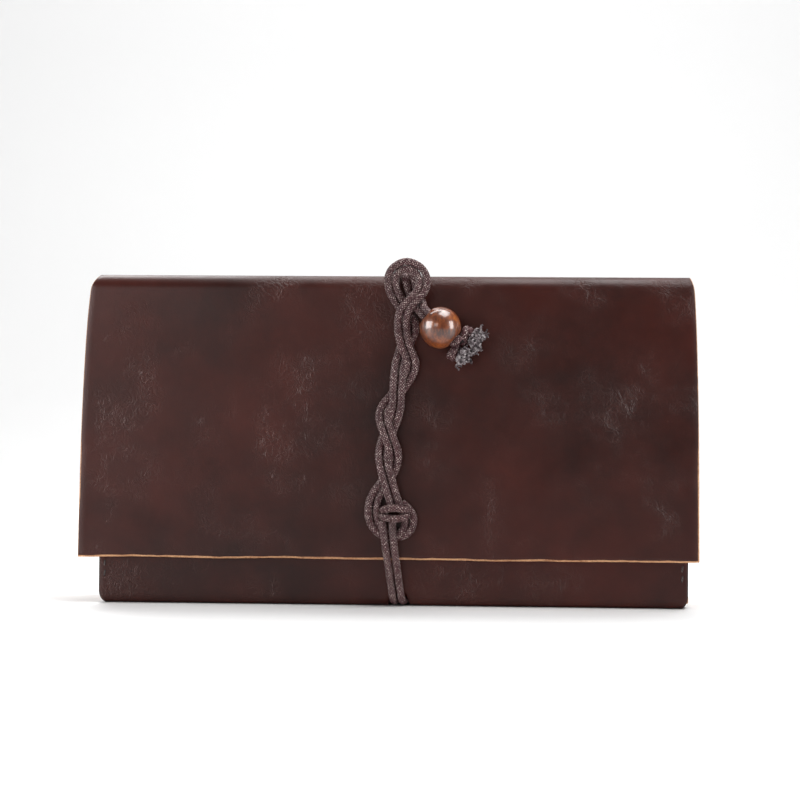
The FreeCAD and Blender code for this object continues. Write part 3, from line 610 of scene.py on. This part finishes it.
def lacqueredWood(name, look):
    material = newMaterial(name)
    texture = addNode(material, "ShaderNodeTexCoord")
    leaned = addNode(material, "ShaderNodeMapping", {"Vector": (texture, "Object"), "Rotation": (0.5, 0.3, 0.9),
                                                     "Scale": (1.0, 1.0, 0.3)})
    rings = addNode(material, "ShaderNodeTexWave", {"Vector": (leaned, "Vector"),
                                                    "Scale": math.pi / 10 / (look["ring"] * mm),
                                                    "Distortion": 5.0, "Detail": 3.0, "Detail Scale": 1.2},
                    bands_direction="X")
    pores = addNode(material, "ShaderNodeTexNoise", {"Vector": (leaned, "Vector"),
                                                     "Scale": 1 / (look["pore"] * mm), "Detail": 4.0,
                                                     "Roughness": 0.7})
    cloud = addNode(material, "ShaderNodeTexNoise", {"Vector": (texture, "Object"), "Scale": 1 / (5 * mm)})
    first = addNode(material, "ShaderNodeMath", {0: (rings, "Fac"), 1: 0.08, 2: (pores, "Fac")},
                    operation="MULTIPLY_ADD")
    tone = addNode(material, "ShaderNodeMath", {0: (cloud, "Fac"), 1: 0.8, 2: (first, "Value")},
                   operation="MULTIPLY_ADD")
    scaled = addNode(material, "ShaderNodeMath", {0: (tone, "Value"), 1: 0.5}, operation="MULTIPLY")
    colour = addNode(material, "ShaderNodeValToRGB", {"Fac": (scaled, "Value")},
                     stops=[(0.36, linear(look["dark"])), (0.5, linear(look["middle"])),
                            (0.68, linear(look["light"]))])
    bump = addNode(material, "ShaderNodeBump", {"Height": (pores, "Fac"), "Strength": 0.06, "Distance": 0.05 * mm})
    return finishMaterial(material, {"Base Color": (colour, "Color"), "Roughness": 0.32, "Coat Weight": 1.0,
                                     "Coat Roughness": 0.06, "Coat IOR": 1.42}, bump)


# Frayed cotton: the cord's core threads keep their undyed grey-white, with dye left on some of them.
def frayedCotton(name, light, middle, dark):
    material = newMaterial(name)
    texture = addNode(material, "ShaderNodeTexCoord")
    tone = addNode(material, "ShaderNodeTexNoise", {"Vector": (texture, "Object"), "Scale": 1 / (1.2 * mm),
                                                    "Detail": 3.0})
    colour = addNode(material, "ShaderNodeValToRGB", {"Fac": (tone, "Fac")},
                     stops=[(0.36, linear(dark)), (0.5, linear(middle)), (0.64, linear(light))])
    bump = addNode(material, "ShaderNodeBump", {"Height": (tone, "Fac"), "Strength": 0.3, "Distance": 0.1 * mm})
    return finishMaterial(material, {"Base Color": (colour, "Color"), "Roughness": 0.85}, bump)


hide = oiledCowhide("oil-tanned cowhide", hideLook)
rawEdge = cutFibre("raw cut hide edge", "#e0aa7e", "#a86d48")
dyedEdge = cutFibre("dyed hide edge", "#38201a", "#1f0f0c")
fleshSide = nappedLeather("flesh side of cowhide", "#7a5544", "#553729", 0.9, 0.8)
pigskin = nappedLeather("split pigskin", "#b98458", "#8d5c39", 1.6, 0.66)
leatherboard = nappedLeather("leatherboard", "#8c6b50", "#66492f", 0.7, 0.85)
liningCotton = wovenCloth("plain cotton lining", "#86694f", "#4e3b2f", 0.6, 0.8)
polyesterTape = wovenCloth("woven polyester zip tape", "#3d2a25", "#1e1311", 0.5, 0.7)
linenThread = twistedThread("waxed linen thread", "#3f2721", "#190c0a")
nylonCoil = twistedThread("dyed nylon monofilament", "#3b2621", "#2a1a16", 0.35, 1.3)
brass = antiquedBrass("antiqued brass", "#b08d57", "#4d3a21")
wood = lacqueredWood("lacquered hardwood", woodLook)
fray = frayedCotton("frayed cotton", "#bdb5b6", "#75686c", "#35282b")
print("materials made")

# ---- helpers for sheets ----


def roundedLine(corners, step=0.25):
    # a flat line through corners (a, b, radius), with each corner rounded
    points = [Vector(corners[0][:2])]
    for before, here, after in zip(corners, corners[1:], corners[2:]):
        corner = Vector(here[:2])
        back = (Vector(before[:2]) - corner).normalized()
        ahead = (Vector(after[:2]) - corner).normalized()
        half = back.angle(ahead) / 2
        centre = corner + (back + ahead).normalized() * here[2] / math.sin(half)
        arm = corner + back * here[2] / math.tan(half) - centre
        turned = math.pi - 2 * half
        if back.x * ahead.y - back.y * ahead.x > 0:
            turned = -turned
        count = max(2, math.ceil(here[2] * abs(turned) / step))
        for i in range(count + 1):
            angle = turned * i / count
            points.append(centre + Vector((arm.x * math.cos(angle) - arm.y * math.sin(angle),
                                           arm.x * math.sin(angle) + arm.y * math.cos(angle))))
    return points + [Vector(corners[-1][:2])]


def smoothStep(value, low, high):
    share = min(max((value - low) / (high - low), 0), 1)
    return share * share * (3 - 2 * share)


def sheetPiece(name, line, sides, thick, materials, cuts=(0.3, 0.3, 0.3, 0.3), cell=(1.2, 2.5), outside=1,
               settle=None, place=None):
    # A sheet with thickness that follows a line, with bevelled edges. cuts are the bevels' widths at the line's
    # start and end and at the low and high side. Its materials are for the outer face, the edges and the inner face.
    marks = evenly(line, 0.4)
    total = lengthOf(marks)
    rows = max(2, round(total / cell[0]))
    lowest, highest = sides(total / 2)
    columns = max(2, round((highest - lowest) / cell[1]))
    cutAt = [cut if callable(cut) else (lambda share, width=cut: width) for cut in cuts]
    round_ = min(0.15, thick * 0.2)
    rims = [(1, 0, 0, 0), (0.35, 0.42, 0, 0), (0, 0.8, 0, 0), (0, 0, 0, thick - round_), (0, 0, round_, thick)]
    points, index = [], {}

    def add(rim, i, j):
        share, drop, extra, depth = rims[rim]
        along, across = i / rows, j / columns
        start, end, low, high = (cut(across) if n < 2 else cut(along) for n, cut in enumerate(cutAt))
        s = share * start + extra + (total - share * (start + end) - 2 * extra) * along
        low = share * low + extra
        high = share * high + extra
        first, last = sides(s)
        x = first + low + (last - first - low - high) * across
        widths = [cut(across) for cut in cutAt[:1] if i == 0] + [cut(across) for cut in cutAt[1:2] if i == rows]
        widths += [cut(along) for cut in cutAt[2:3] if j == 0] + [cut(along) for cut in cutAt[3:] if j == columns]
        if drop and widths:
            depth = min(drop * max(widths), thick * 0.6)
        at = min(int(s / total * (len(marks) - 1)), len(marks) - 2)
        share = s / total * (len(marks) - 1) - at
        ahead = (marks[at + 1] - marks[at]).normalized()
        nextAhead = (marks[min(at + 2, len(marks) - 1)] - marks[min(at + 1, len(marks) - 2)]).normalized()
        ahead = ahead.lerp(nextAhead, share)
        out = Vector((ahead.y, -ahead.x)).normalized() * outside
        flat = marks[at].lerp(marks[at + 1], share) - out * depth
        point = place(x, flat.x, flat.y) if place else Vector((x, flat.x, flat.y))
        if settle:
            point = settle(point, s, x)
        index[rim, i, j] = len(points)
        points.append(point)

    for i in range(rows + 1):
        for j in range(columns + 1):
            add(0, i, j)
            add(4, i, j)
    border = [(0, j) for j in range(columns)] + [(i, columns) for i in range(rows)]
    border += [(rows, j) for j in range(columns, 0, -1)] + [(i, 0) for i in range(rows, 0, -1)]
    for rim in (1, 2, 3):
        for i, j in border:
            add(rim, i, j)
    faces, kinds = [], []
    for rim, kind in ((0, 0), (4, 2)):
        for i in range(rows):
            for j in range(columns):
                faces.append((index[rim, i, j], index[rim, i, j + 1], index[rim, i + 1, j + 1],
                              index[rim, i + 1, j]))
                kinds.append(kind)
    for rim in range(4):
        for (i, j), (m, n) in zip(border, border[1:] + border[:1]):
            faces.append((index[rim, i, j], index[rim, m, n], index[rim + 1, m, n], index[rim + 1, i, j]))
            kinds.append(1)
    piece = newPiece(name, points, faces, materials)
    piece.data.polygons.foreach_set("material_index", kinds)
    fixNormals(piece)
    return piece


def fixNormals(piece, crisp=38):
    # faces look outward, and edges sharper than crisp degrees stay sharp
    work = bmesh.new()
    work.from_mesh(piece.data)
    bmesh.ops.recalc_face_normals(work, faces=work.faces)
    work.to_mesh(piece.data)
    work.free()
    piece.data.shade_smooth()
    piece.data.set_sharp_from_angle(angle=math.radians(crisp))


def addTube(points, faces, path, radius, around=8, taper=None):
    # one more closed tube in a mesh that holds many
    first = len(points)
    for i, (point, ahead, across, up) in enumerate(framesAlong(path)):
        reach = radius * (taper(i / (len(path) - 1)) if taper else 1)
        for j in range(around):
            angle = 2 * math.pi * j / around
            points.append(point + (across * math.cos(angle) + up * math.sin(angle)) * reach)
    for i in range(len(path) - 1):
        for j in range(around):
            k = (j + 1) % around
            row = first + i * around
            faces.append((row + j, row + k, row + around + k, row + around + j))
    faces.append(tuple(first + j for j in reversed(range(around))))
    faces.append(tuple(first + (len(path) - 1) * around + j for j in range(around)))


def stand(piece, slot, body, *stoodFor):
    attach(piece, body)
    if stoodFor:
        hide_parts(*stoodFor)
    return piece


# ---- flap ----

flap = {"left": 96.6, "right": 97.9, "flareLeft": 3.6, "flareRight": 2.2, "flareOver": 35, "cornerHigh": 5.5, "easeFrom": 86, "ease": 0.8,
        "cornerLeft": 2.2, "cornerRight": 0.9, "wave": 0.35, "bevel": 0.62, "unevenBevel": 0.2, "swell": 0.2}
rise = foldZ + foldRadius


def flapSides(down):
    # half widths at a distance down from the top of the fold, on either side of it
    flare = 1 - math.exp(-max(down, 0) / flap["flareOver"])
    return -flap["left"] - flap["flareLeft"] * flare, flap["right"] + flap["flareRight"] * flare


def settleFlap(point, s, x):
    # soft swelling over the face, a slightly wavy cut at the bottom, and outer corners pulled in over the fold
    below = smoothStep(flapLow.z + 14 - point.z, 0, 14)
    if point.y < middleY:
        point.z += flap["wave"] * below * noise.noise(Vector((x * 0.045, 3.1, 0)))
        point.z += 0.25 * flap["wave"] * below * noise.noise(Vector((x * 0.35, 9.7, 0)))
        clear = 1 - math.exp(-((x - 5) / 18) ** 2)
        high = min(max(point.z - flap["easeFrom"], 0), foldZ - flap["easeFrom"])
        point.y += flap["ease"] * (high / (foldZ - flap["easeFrom"])) ** 2 * smoothStep(middleY - point.y, 1, 8)
        point.y += flap["swell"] * clear * noise.noise(Vector((x * 0.03, 0, point.z * 0.035)))
    over = max(point.z - rise + flap["cornerHigh"], 0) / flap["cornerHigh"]
    pull = flap["cornerLeft"] if x < 0 else flap["cornerRight"]
    point.x -= math.copysign(pull, x) * over ** 2 * smoothStep(abs(x), 60, 98)
    return point


def lowerCut(share):
    return flap["bevel"] + flap["unevenBevel"] * noise.noise(Vector((share * 60, 0, 0.5)))


def rightCut(share):
    return 0.2 + 0.3 * smoothStep(share, 0.55, 0.75) + 0.1 * noise.noise(Vector((share * 40, 5, 0)))


def leftCut(share):
    return 0.18 + 0.25 * smoothStep(share, 0.62, 0.7) * smoothStep(-share, -0.9, -0.8)


frontLine = roundedLine([(0, rise, 0), (frontFoldY - foldRadius, rise, foldRadius), (flapLow.y, flapLow.z, 0)])
bend = math.pi / 2 * foldRadius
frontTop = -frontFoldY + bend / 2
flapFront = sheetPiece("flap_front_sheet", frontLine, lambda s: flapSides(s - frontTop), leather,
                       (hide, rawEdge, fleshSide), (0, lowerCut, leftCut, rightCut), (1.0, 2.0), 1, settleFlap)
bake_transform(flapFront)
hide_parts("flap_front", "flap_front_fold")
backLine = roundedLine([(stripHigh.y, stripLow.z, 0), (stripHigh.y, rise, foldRadius), (0, rise, 0)])
backTop = foldZ - stripLow.z + bend
flapBack = sheetPiece("flap_back_sheet", backLine, lambda s: flapSides(0), leather,
                      (hide, rawEdge, fleshSide), (0.4, 0, 0.25, 0.25), (1.0, 2.0), 1, settleFlap)
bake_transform(flapBack)
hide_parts("flap_root_strip", "flap_rear_fold", "flap_top")
print("flap made")

# ---- body leather, base board and gussets ----

body = {"low": -93.4, "high": 96.6, "corner": 2.4, "roundX": 1.6, "roundZ": 3.9, "hollow": 2.75, "hollowTop": 2.9, "hollowSide": 0.9,
        "hollowX": 6.1, "hollowSlant": 0.17, "edge": 0.3}
frontTopY = frontHigh.y - leather


def settleBody(point, s, x):
    # rounded lower corners, and a hollow in the underside where the cord runs
    drop = max(body["roundZ"] - point.z, 0) / body["roundZ"]
    middle = (body["low"] + body["high"]) / 2
    point.x = middle + (point.x - middle) * (1 - body["roundX"] * drop ** 2 / 95)
    aside = abs(x - body["hollowX"] - body["hollowSlant"] * (point.y - middleY))
    hollow = 1 - smoothStep(aside, body["hollow"], body["hollow"] + body["hollowSide"])
    point.z += hollow * body["hollowTop"] * (1 - smoothStep(point.z, 0, 7))
    return point


bodySides = lambda s: (body["low"], body["high"])
edges = (0, body["edge"], body["edge"], body["edge"])
line = roundedLine([(middleY, 0, 0), (baseLow.y, 0, body["corner"]), (baseLow.y, 7, 30), (frontTopY, frontHigh.z, 0)])
bodyFront = sheetPiece("body_front_sheet", line, bodySides, leather, (hide, dyedEdge, fleshSide), edges, (1.2, 1.2),
                       -1, settleBody)
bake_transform(bodyFront)
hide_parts("front_panel")
line = roundedLine([(middleY, 0, 0), (backHigh.y, 0, body["corner"]), (backHigh.y, backHigh.z, 0)])
bodyBack = sheetPiece("body_back_sheet", line, bodySides, leather, (hide, dyedEdge, fleshSide), edges, (1.2, 1.2), 1,
                      settleBody)
stand(bodyBack, "body_leather", "pouch", "back_panel", "base_panel")


def liftBoard(point, s, x):
    point = settleBody(point, s, x)
    return point


boardLow, boardHigh = boxOf("base_board")
board = sheetPiece("base_board_layer", [Vector((boardLow.y, boardLow.z)), Vector((boardHigh.y, boardLow.z))],
                   lambda s: (boardLow.x, boardHigh.x), boardHigh.z - boardLow.z,
                   (leatherboard, leatherboard, leatherboard), cell=(2, 1.5), outside=1, settle=liftBoard)
stand(board, "board", "pouch", "base_board")

gusset = {"thick": 0.9, "out": 93.6, "in": 86.4, "front": -9.2, "back": 10.0, "fold": 1.6, "low": 6.0, "high": 84.0}


def gussetPlace(sign):
    def place(z, y, x):
        front = smoothStep(-y, -gusset["back"], -gusset["front"])
        return Vector((sign * x + 1.6 * (sign > 0), y - front * 0.031 * (gusset["high"] - z), z))
    return place


for side, sign in (("left", -1), ("right", 1)):
    line = roundedLine([(gusset["front"], gusset["out"], 0), (0.4, gusset["in"], gusset["fold"]),
                        (gusset["back"], gusset["out"], 0)])
    piece = sheetPiece(f"{side}_gusset_fold", line, lambda s: (gusset["low"], gusset["high"]), gusset["thick"],
                       (pigskin, pigskin, pigskin), (0.2, 0.2, 0.2, 0.2), (0.8, 2.5), -1,
                       place=gussetPlace(sign))
    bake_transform(piece)
    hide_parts(f"{side}_gusset")
foot = sheetPiece("right_gusset_foot", roundedLine([(-10.6, 95.6, 0), (-9.9, 97.3, 0.5), (-6.5, 96.4, 0)]),
                  lambda s: (1.4, 4.9), 0.8, (pigskin, pigskin, pigskin), (0.15, 0.15, 0.4, 0.4), (0.5, 0.6), -1,
                  place=lambda z, y, x: Vector((x - 0.5 * smoothStep(z, 3.4, 4.9), y, z)))
stand(foot, "inner_leather", "pouch")
print("body made")

# ---- linings and pockets ----


def uprightSheet(name, node, material, body, slot, lean=0, cut=0.2, cell=4.0, swell=0.0, edge=None):
    # a flat sheet in its node's box, leaning back by lean from bottom to top
    low, high = boxOf(node)
    thick = high.y - low.y - abs(lean)

    def settle(point, s, x):
        share = (point.z - low.z) / (high.z - low.z)
        point.y += lean * share + swell * noise.noise(Vector((x * 0.02, 2.0, point.z * 0.05)))
        return point

    line = [Vector((low.y, low.z)), Vector((low.y, high.z))]
    piece = sheetPiece(name, line, lambda s: (low.x, high.x), thick, (material, edge or material, material),
                       (cut,) * 4, (cell, cell), -1, settle)
    return stand(piece, slot, body, node)


frontLean = (frontTopY - baseLow.y) / (frontHigh.z - frontLow.z)


def leanOver(height):
    # how far the front of the pouch leans back over a height
    return frontLean * height


liningHigh = {"back": 86, "front": 80}
for name, owner, tipped in (("back", "pouch", 0), ("front", "front", leanOver(liningHigh["front"]))):
    lining = uprightSheet(f"{name}_lining_cloth", f"{name}_lining", liningCotton, owner, "lining", tipped, 0.1)
slipLow, slipHigh = boxOf("front_slip_pocket")
uprightSheet("front_slip_pocket_leather", "front_slip_pocket", pigskin, "front", "inner_leather",
             leanOver(slipHigh.z - slipLow.z))
for level, name in enumerate(("rear", "middle", "front")):
    uprightSheet(f"card_pocket_{name}_leather", f"card_pocket_{name}", pigskin, "pouch", "inner_leather",
                 swell=0.12)
for name in ("rear", "front"):
    uprightSheet(f"coin_pocket_{name}_leather", f"coin_pocket_{name}_wall", pigskin, "pouch", "inner_leather",
                 swell=0.12)
    tape = uprightSheet(f"zip_tape_{name}_weave", f"zip_tape_{name}", polyesterTape, "pouch", "zip_tape", cut=0.1,
                        cell=3.0)

coinLow, coinHigh = boxOf("coin_pocket_front_wall")
stripThick = boxOf("coin_pocket_base")[1].z - coinLow.z
sideLow, sideHigh = boxOf("coin_pocket_base")
line = roundedLine([(coinLow.x, coinHigh.z, 0), (coinLow.x, coinLow.z, 3), (coinHigh.x, coinLow.z, 3),
                    (coinHigh.x, coinHigh.z, 0)])
strip = sheetPiece("coin_pocket_side_strip", line, lambda s: (sideLow.y, sideHigh.y), stripThick,
                   (pigskin, pigskin, pigskin), (0.15, 0.15, 0.1, 0.1), (2.0, 1.8), 1,
                   place=lambda y, x, z: Vector((x, y, z)))
stand(strip, "inner_leather", "pouch", "coin_pocket_base", "coin_pocket_left_side", "coin_pocket_right_side")
print("pockets made")

# ---- zip ----

coil = {"wire": 0.3, "pitch": 1.35, "perTurn": 12}
for name in ("rear", "front"):
    low, high = boxOf(f"zip_teeth_{name}")
    middle = (low + high) / 2
    radius = (high.z - low.z) / 2 - coil["wire"]
    count = round((high.x - low.x - 1) / coil["pitch"] * coil["perTurn"])
    path = []
    for i in range(count + 1):
        angle = 2 * math.pi * i / coil["perTurn"]
        path.append(Vector((low.x + 0.5 + (high.x - low.x - 1) * i / count, middle.y + radius * math.cos(angle),
                            middle.z + radius * math.sin(angle))))
    points, faces = [], []
    addTube(points, faces, path, coil["wire"], 6)
    stand(newPiece(f"zip_coil_{name}", points, faces, nylonCoil), "zip_coil", "pouch", f"zip_teeth_{name}")
for name in ("zip_slider", "zip_pull", "zip_end_stops"):
    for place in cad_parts[name].material_slots:
        place.material = brass

# ---- keeper and stitches ----

keeper = {"thick": 1.5, "round": 1.2, "half": 4.9, "slope": 1.6}
keeperLow, keeperHigh = boxOf("cord_keeper")
sewnY = backHigh.y + keeper["thick"]
keeperX = (keeperLow.x + keeperHigh.x) / 2
foot, shoulder = keeper["half"] + keeper["slope"], keeper["half"]
line = roundedLine([(keeperLow.x, sewnY, 0), (keeperX - foot, sewnY, keeper["round"]),
                    (keeperX - shoulder, keeperHigh.y, keeper["round"]),
                    (keeperX + shoulder, keeperHigh.y, keeper["round"]),
                    (keeperX + foot, sewnY, keeper["round"]), (keeperHigh.x, sewnY, 0)])
bridge = sheetPiece("cord_keeper_bridge", line, lambda s: (keeperLow.z, keeperHigh.z), keeper["thick"],
                    (hide, dyedEdge, fleshSide), (0.3, 0.3, 0.3, 0.3), (0.6, 1.2), -1,
                    place=lambda z, x, y: Vector((x, y, z)))
stand(bridge, "body_leather", "pouch", "cord_keeper")

thread = {"pitch": 3.2, "length": 2.3, "radius": 0.3, "heights": (-0.35, 0.02, 0.14, 0.02, -0.35)}


def stitchRows(name, rows, body):
    # each stitch dives into the leather at both ends; rows are (start, end, outward)
    points, faces = [], []
    for start, end, outward in rows:
        run = end - start
        count = int(run.length // thread["pitch"])
        way = run.normalized()
        for i in range(count):
            middle = start + way * (thread["pitch"] * (i + 0.5))
            slant = way.cross(outward) * 0.12
            path = []
            for step, height in enumerate(thread["heights"]):
                share = step / 4 - 0.5
                path.append(middle + way * thread["length"] * share + slant * share * 2 + outward * height)
            addTube(points, faces, path, thread["radius"], 7)
    piece = newPiece(name + "_thread", points, faces, linenThread)
    return stand(piece, "thread", body, name)


def frontFaceY(z):
    return baseLow.y + frontLean * (z - frontLow.z)


inset = 1.9
out, away = Vector((0, -1, 0)), Vector((0, 1, 0))
sewnX = (body["low"] + inset, body["high"] - inset)
stitchRows("front_side_stitches", [(Vector((x, frontFaceY(8), 8)), Vector((x, frontFaceY(87), 87)), out)
                                   for x in sewnX], "front")
stitchRows("back_side_stitches", [(Vector((x, backHigh.y, 8)), Vector((x, backHigh.y, 78)), away)
                                  for x in sewnX], "pouch")
stitchRows("flap_root_stitches", [(Vector((-93.5, stripHigh.y, z)), Vector((94.5, stripHigh.y, z)), away)
                                  for z in (foldZ - 3, foldZ - 18)], "pouch")
stitchRows("keeper_stitches", [(Vector((x, sewnY, keeperLow.z + 0.7)), Vector((x, sewnY, keeperHigh.z - 0.7)), away)
                               for x in (keeperLow.x + 2, keeperHigh.x - 2)], "pouch")
cardLow, cardHigh = boxOf("card_pocket_front")
stitchRows("card_pocket_stitches", [(Vector((0, cardLow.y, 10)), Vector((0, cardLow.y, cardHigh.z - 2)), out)],
           "pouch")
print("zip, keeper and stitches made")

# ---- bead and end knots ----

beadShape = {"hole": 2.7, "around": 56, "rings": 30}


def turnedBead():
    hole = beadShape["hole"]
    first = math.asin((hole + 0.6) / beadRadius)
    profile = [(hole, -4.6), (hole, 0), (hole, 4.6), (hole + 0.1, 5.5), (hole + 0.3, 5.76)]
    for i in range(beadShape["rings"] + 1):
        angle = first + (math.pi - 2 * first) * i / beadShape["rings"]
        profile.append((beadRadius * math.sin(angle), beadRadius * math.cos(angle)))
    profile += [(hole + 0.3, -5.76), (hole + 0.1, -5.5)]
    side = holeWay.orthogonal().normalized()
    up = holeWay.cross(side)
    points, faces = [], []
    for radius, height in profile:
        for j in range(beadShape["around"]):
            angle = 2 * math.pi * j / beadShape["around"]
            points.append(beadMiddle + holeWay * height + (side * math.cos(angle) + up * math.sin(angle)) * radius)
    around = beadShape["around"]
    for i in range(len(profile)):
        k = (i + 1) % len(profile)
        for j in range(around):
            m = (j + 1) % around
            faces.append((i * around + j, i * around + m, k * around + m, k * around + j))
    piece = newPiece("bead_turned", points, faces, wood)
    fixNormals(piece, 60)
    return piece


bead = stand(turnedBead(), "bead_wood", "flap", "bead")

knots = {
    "upper": {"from": "right", "centre": (25.0, 4.4, 86.9), "axis": (0.92, -0.1, -0.3), "radius": 2.05,
              "turns": 1.3, "start": 200, "tuft": 6.0, "yarns": 44, "spread": 0.95, "curls": 2.6},
    "lower": {"from": "left", "centre": (21.4, 4.2, 82.0), "axis": (0.82, -0.1, -0.42), "radius": 2.05,
              "turns": 1.3, "start": 80, "tuft": 5.2, "yarns": 40, "spread": 0.95, "curls": 2.4},
}
for name, knot in knots.items():
    x, above, z = knot["centre"]
    centre = Vector((x, flapY(z, above), z))
    axis = Vector(knot["axis"]).normalized()
    side = Vector((0, -1, 0)) - axis * axis.dot(Vector((0, -1, 0)))
    side.normalize()
    up = axis.cross(side)
    count = 26
    path = [beadCords[knot["from"]][1][-1]]
    for i in range(count + 1):
        angle = math.radians(knot["start"] + 360 * knot["turns"] * i / count)
        path.append(centre + axis * (1.6 * i / count - 0.8) + (side * math.cos(angle) + up * math.sin(angle))
                    * knot["radius"])
    path.append(centre + axis * 1.1)
    path.append(centre + axis * 2.6)
    path = evenly(readSpline(path), 0.4)
    tie = {**braid, "roundEnds": False, "around": 24}
    turnPiece = braidedCord(f"end_knot_{name}_braid", path, tie, cordCotton)
    stand(turnPiece, "cord", "flap", f"end_knot_{name}")
    points, faces = [], []
    for i in range(knot["yarns"]):
        wide = knot["spread"] * math.sqrt(random.random())
        round_ = random.random() * 2 * math.pi
        way = axis * math.cos(wide) + (side * math.cos(round_) + up * math.sin(round_)) * math.sin(wide)
        reach = knot["tuft"] * random.uniform(0.6, 1.0)
        root = centre + axis * 1.2 + (side * math.cos(round_) + up * math.sin(round_)) * 0.8
        kink = way.orthogonal().normalized()
        other = way.cross(kink)
        first = random.random() * 6.3
        strand = []
        for step in range(13):
            share = step / 12
            turned = first + share * knot["curls"] * 2 * math.pi
            point = root + way * reach * share
            point += (kink * math.cos(turned) + other * math.sin(turned)) * 0.6 * min(share * 3, 1)
            point += noise.noise_vector(root * 3 + way * share * 2) * 0.8 * share
            point.y = min(point.y, flapY(point.z, 0.35))
            strand.append(point)
        addTube(points, faces, evenly(strand, 0.25), random.uniform(0.3, 0.44), 8,
                lambda share: 1 - 0.35 * share ** 3)
    tuft = newPiece(f"end_knot_{name}_fray", points, faces, fray)
    stand(tuft, "cord", "flap")
    beadCord, cordPath = beadCords[knot["from"]]
    declareCord(beadCord, cordPath, far="knot", with_pieces=[turnPiece, tuft])
print("bead and knots made")

# ---- lights and floor ----

paper = finishMaterial(newMaterial("white backdrop paper"), {"Base Color": linear("#f4f4f4"), "Roughness": 0.6})
sweep = []
for i in range(13):
    angle = math.radians(90 * i / 12)
    sweep.append((900 + 500 * math.sin(angle), 500 - 500 * math.cos(angle)))
profile = [(-700, 0), (900, 0)] + sweep[1:] + [(1400, 2600)]
points, faces = [], []
for y, z in profile:
    points += [Vector((-1500, y, z)), Vector((1500, y, z))]
for i in range(len(profile) - 1):
    faces.append((2 * i, 2 * i + 1, 2 * i + 3, 2 * i + 2))
backdrop = newPiece("backdrop", points, faces, paper)

lights = {
    "top softbox": {"place": (225, -90, 900), "size": (500, 480), "power": 7.0, "toward": (60, 0, 60)},
    "left softbox": {"place": (-560, -260, 220), "size": (440, 380), "power": 5.5, "toward": (0, 0, 60)},
    "right softbox": {"place": (620, -280, 230), "size": (280, 420), "power": 4.0, "toward": (0, 0, 60)},
    "front softbox": {"place": (-330, -820, 300), "size": (300, 300), "power": 1.0, "toward": (-60, 0, 80)},
    "rear softbox": {"place": (-260, 420, 640), "size": (320, 320), "power": 2.3, "toward": (0, 0, 40)},
    "backdrop light": {"place": (0, 500, 1500), "size": (1800, 500), "power": 19, "toward": (0, 1100, 300)},
}
for name, one in lights.items():
    lamp = bpy.data.lights.new(name, "AREA")
    lamp.shape = "RECTANGLE"
    lamp.size, lamp.size_y = (side * mm for side in one["size"])
    lamp.energy = one["power"]
    holder = bpy.data.objects.new(name, lamp)
    bpy.context.scene.collection.objects.link(holder)
    # the side boxes only put highlights on glossy parts
    holder.visible_diffuse = name not in ("left softbox", "right softbox")
    holder.location = Vector(one["place"]) * mm
    holder.rotation_mode = "QUATERNION"
    way = Vector(one["toward"]) * mm - holder.location
    holder.rotation_quaternion = way.to_track_quat("-Z", "Y")
world = bpy.data.worlds.new("room")
bpy.context.scene.world = world
world.use_nodes = True
# the room is plain white to look at, and lights the wallet only a little
sky = world.node_tree.nodes["Background"]
sky.inputs["Color"].default_value = grey(1)
seen = world.node_tree.nodes.new("ShaderNodeLightPath")
strength = world.node_tree.nodes.new("ShaderNodeMapRange")
strength.inputs["To Min"].default_value = 0.12
strength.inputs["To Max"].default_value = 1.0
world.node_tree.links.new(seen.outputs["Is Camera Ray"], strength.inputs["Value"])
world.node_tree.links.new(strength.outputs["Result"], sky.inputs["Strength"])
print("lights placed")
